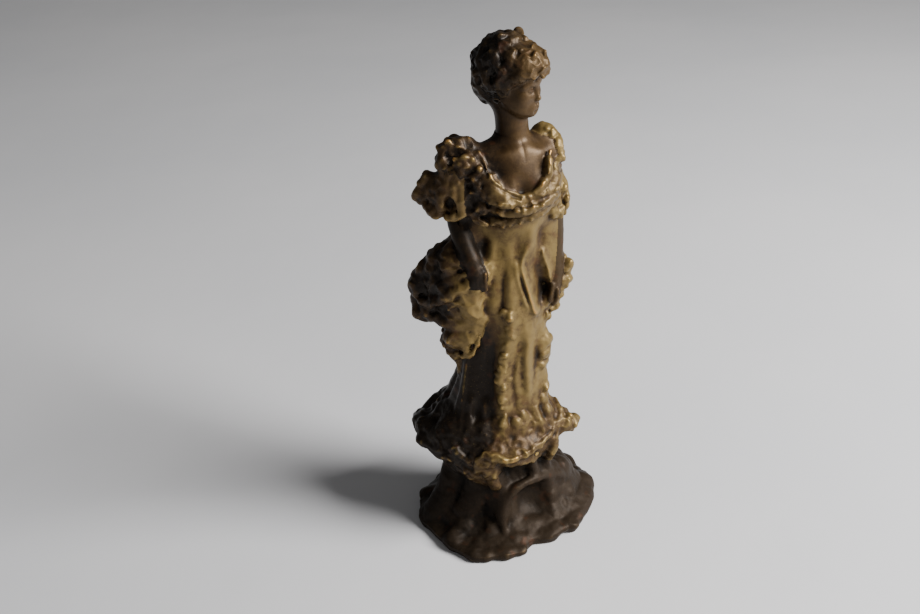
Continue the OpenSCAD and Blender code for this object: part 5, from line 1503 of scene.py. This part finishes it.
class Recipe:  # a geometry node tree under construction, with its named inputs
    def __init__(self, name, inputs):
        self.tree = bpy.data.node_groups.new(name, "GeometryNodeTree")
        for label, kind, _ in inputs:
            self.tree.interface.new_socket(name=label, in_out="INPUT", socket_type=f"NodeSocket{kind}")
        self.tree.interface.new_socket(name="Geometry", in_out="OUTPUT", socket_type="NodeSocketGeometry")
        self.name, self.inputs = name, inputs
        self.start = self.tree.nodes.new("NodeGroupInput")
        self.end = self.tree.nodes.new("NodeGroupOutput")

    def given(self, label):
        return self.start.outputs[label]

    def node(self, kind, values=None, settings=None, out=0):
        made = self.tree.nodes.new(kind)
        for key, value in (settings or {}).items():
            setattr(made, key, value)
        for key, value in (values or {}).items():
            for one in value if isinstance(value, list) else [value]:
                if isinstance(one, bpy.types.NodeSocket):
                    self.tree.links.new(one, made.inputs[key])
                else:
                    made.inputs[key].default_value = one
        return made.outputs[out]

    def sum(self, a, b, operation="ADD"):
        return self.node("ShaderNodeMath", {0: a, 1: b}, {"operation": operation})

    def make(self, geometry):  # the finished mesh, as plain faces
        single = self.node("GeometryNodeRealizeInstances", {"Geometry": geometry})
        coated = self.node("GeometryNodeSetMaterial", {"Geometry": single,
                                                       "Material": self.given("Material")})
        self.tree.links.new(coated, self.end.inputs["Geometry"])
        piece = bpy.data.objects.new(self.name, bpy.data.meshes.new(self.name))
        bpy.context.scene.collection.objects.link(piece)
        modifier = piece.modifiers.new("recipe", "NODES")
        modifier.node_group = self.tree
        names = {s.name: s.identifier for s in self.tree.interface.items_tree if s.in_out == "INPUT"}
        for label, _, value in self.inputs:
            modifier[names[label]] = value
        bpy.context.view_layer.update()
        held = piece.evaluated_get(bpy.context.evaluated_depsgraph_get())
        mesh = bpy.data.meshes.new_from_object(held)
        piece.modifiers.remove(modifier)
        piece.data = mesh
        mesh.materials.clear()
        mesh.materials.append([value for label, _, value in self.inputs if label == "Material"][0])
        return piece


rodSizes = {"thread": 24, "turnHeight": 0.0010, "ridge": 0.00036}


def makeRod():
    low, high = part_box("tie_rod")
    radius, length = (high.x - low.x) / 2, high.z - low.z
    turns = rodSizes["thread"]
    r = Recipe("tie_rod", [("Radius", "Float", radius - rodSizes["ridge"]), ("Length", "Float", length),
                           ("Ridge", "Float", rodSizes["ridge"]),
                           ("Turns", "Float", float(turns)), ("Pitch", "Float", rodSizes["turnHeight"]),
                           ("Foot", "Vector", ((low.x + high.x) / 2, (low.y + high.y) / 2, low.z)),
                           ("Material", "Material", steel)])
    core = r.node("GeometryNodeMeshCylinder", {"Vertices": 48, "Radius": r.given("Radius"),
                                               "Depth": r.given("Length")})
    half = r.sum(r.given("Length"), 0.5, "MULTIPLY")
    core = r.node("GeometryNodeTransform", {"Geometry": core, "Translation": r.node("ShaderNodeCombineXYZ",
            {"Z": half})})
    # one ridge of thread at each end of the rod
    spiral = r.node("GeometryNodeCurveSpiral", {"Resolution": 36, "Rotations": r.given("Turns"),
                                                "Start Radius": r.given("Radius"),
                                                "End Radius": r.given("Radius"),
                                                "Height": r.sum(r.given("Turns"), r.given("Pitch"),
                                                                "MULTIPLY")})
    profile = r.node("GeometryNodeCurvePrimitiveCircle", {"Resolution": 3, "Radius": r.given("Ridge")})
    ridge = r.node("GeometryNodeCurveToMesh", {"Curve": spiral, "Profile Curve": profile,
                                               "Fill Caps": True})
    foot = r.node("GeometryNodeTransform", {"Geometry": ridge, "Translation": (0.0, 0.0, 0.0006)})
    tall = r.sum(r.sum(r.given("Turns"), r.given("Pitch"), "MULTIPLY"), 0.0006)
    top = r.sum(r.given("Length"), tall, "SUBTRACT")
    head = r.node("GeometryNodeTransform", {"Geometry": ridge, "Translation": r.node("ShaderNodeCombineXYZ",
            {"Z": top})})
    whole = r.node("GeometryNodeJoinGeometry", {"Geometry": [core, foot, head]})
    return r.make(r.node("GeometryNodeTransform", {"Geometry": whole, "Translation": r.given("Foot")}))


def makeWasher():
    low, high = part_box("tie_washer")
    rodLow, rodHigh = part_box("tie_rod")
    bore, outer = (rodHigh.x - rodLow.x) / 2 + 0.0002, (high.x - low.x) / 2
    r = Recipe("tie_washer", [("Middle", "Float", (bore + outer) / 2), ("Width", "Float", outer - bore),
                              ("Thickness", "Float", high.z - low.z),
                              ("Centre", "Vector", tuple((low + high) / 2)),
                              ("Material", "Material", steel)])
    ring = r.node("GeometryNodeCurvePrimitiveCircle", {"Resolution": 72, "Radius": r.given("Middle")})
    section = r.node("GeometryNodeCurvePrimitiveQuadrilateral", {"Width": r.given("Width"),
                                                                 "Height": r.given("Thickness")})
    section = r.node("GeometryNodeFilletCurve", {"Curve": section, "Radius": 0.00015, "Count": 3},
                     {"mode": "POLY"})
    body = r.node("GeometryNodeCurveToMesh", {"Curve": ring, "Profile Curve": section})
    return r.make(r.node("GeometryNodeTransform", {"Geometry": body, "Translation": r.given("Centre")}))


for name, maker in (("tie_rod", makeRod), ("tie_washer", makeWasher)):
    piece = maker()
    size = [round((max(v.co[k] for v in piece.data.vertices)
                   - min(v.co[k] for v in piece.data.vertices)) * 1000, 2) for k in range(3)]
    print(f"         {name}: {len(piece.data.polygons)} faces, {size} mm")
    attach(piece, "root")
    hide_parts(name)
say("rod and washer")

# pieces take the palette of their region; each palette sets where on the lady's right its painted shade
# falls
wears = {"base_plate": ("ground", "bronze_base"), "rock_mound": ("ground", "bronze_base"),
         "bust": ("skin", "bronze_flesh"),
         "head": ("skin", "bronze_flesh"), "right_arm": ("arms", "bronze_flesh"),
         "left_arm": ("arms", "bronze_flesh"),
         "hair": ("hair", "bronze_flesh"), "bertha_collar": ("collar", "bronze_gown"),
         "right_shoulder_bow": ("collar", "bronze_gown"),
         "right_sleeve_ruffle": ("sleeve", "bronze_gown"), "right_pannier": ("pannier", "bronze_gown"),
         "right_pannier_tail": ("pannier", "bronze_gown")}
for name, piece in pieces.items():
    key, slot = wears.get(name, ("gown", "bronze_gown"))
    piece.data.materials.append(finishes[key])
    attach(piece, "root")
    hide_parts("head" if name == "hair" else name)
fixings = {name: brass for name in ("neck_pins", "bust_pins", "waist_pins", "arm_pins", "pannier_pins",
                                    "hem_pins",
                                    "mound_dowels", "tie_nut")}
fixings["bridge_bar"] = steel
for name, metal in fixings.items():
    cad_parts[name].data.materials.clear()
    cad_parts[name].data.materials.append(metal)
say("finishes")


# ---- floor, light and camera ----

studio = {
    "floor": 6.0,
    "camera": (0.001, -0.4937, 0.383), "pitch": 28.5, "yaw": 2.7276, "lens": 46.2,
    # place, size, power and colour of each lamp; all look at the aim
    "lamps": {"window": ((1.0, -0.2, 0.8), 0.7, 44, (1.0, 0.985, 0.96)),
              "fill": ((-0.9, -1.3, 1.3), 1.6, 2, (0.97, 0.97, 1.0))},
    "aim": (0, 0, 0.1),
    "room": (0.84, 0.83, 0.81), "roomStrength": 0.14,
}


def makeFloor():
    mesh = bpy.data.meshes.new("floor")
    s = studio["floor"] / 2
    mesh.from_pydata([(-s, -s, 0), (s, -s, 0), (s, s, 0), (-s, s, 0)], [], [(0, 1, 2, 3)])
    floor = bpy.data.objects.new("floor", mesh)
    bpy.context.scene.collection.objects.link(floor)
    f = Finish("pale_card")
    cloud = f.noise(3.0, 3, 0.5)
    colour = f.mix(cloud.above(0.3, 0.7), tone(205, 206, 210), tone(212, 212, 215))
    mesh.materials.append(f.shade({"Base Color": colour, "Roughness": 0.75,
                                   "Normal": f.bump(f.noise(9, 3), 0.002, 0.4)}))


def areaLight(name, at, size, power, colour):
    data = bpy.data.lights.new(name, "AREA")
    data.shape, data.size, data.energy, data.color = "DISK", size, power, colour
    lamp = bpy.data.objects.new(name, data)
    lamp.location = at
    lamp.rotation_euler = (Vector(studio["aim"]) - Vector(at)).to_track_quat("-Z", "Y").to_euler()
    bpy.context.scene.collection.objects.link(lamp)


makeFloor()
for name, values in studio["lamps"].items():
    areaLight(name, *values)
world = bpy.data.worlds.new("room")
bpy.context.scene.world = world
world.use_nodes = True
background = world.node_tree.nodes["Background"]
background.inputs["Color"].default_value = (*studio["room"], 1)
background.inputs["Strength"].default_value = studio["roomStrength"]

cameraData = bpy.data.cameras.new("camera")
cameraData.lens, cameraData.sensor_width = studio["lens"], 36.0
cameraData.clip_start = 0.01
camera = bpy.data.objects.new("camera", cameraData)
camera.location = studio["camera"]
camera.rotation_euler = (math.radians(90 - studio["pitch"]), 0, math.radians(studio["yaw"]))
bpy.context.scene.collection.objects.link(camera)
bpy.context.scene.camera = camera

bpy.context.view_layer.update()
say("scene ready")
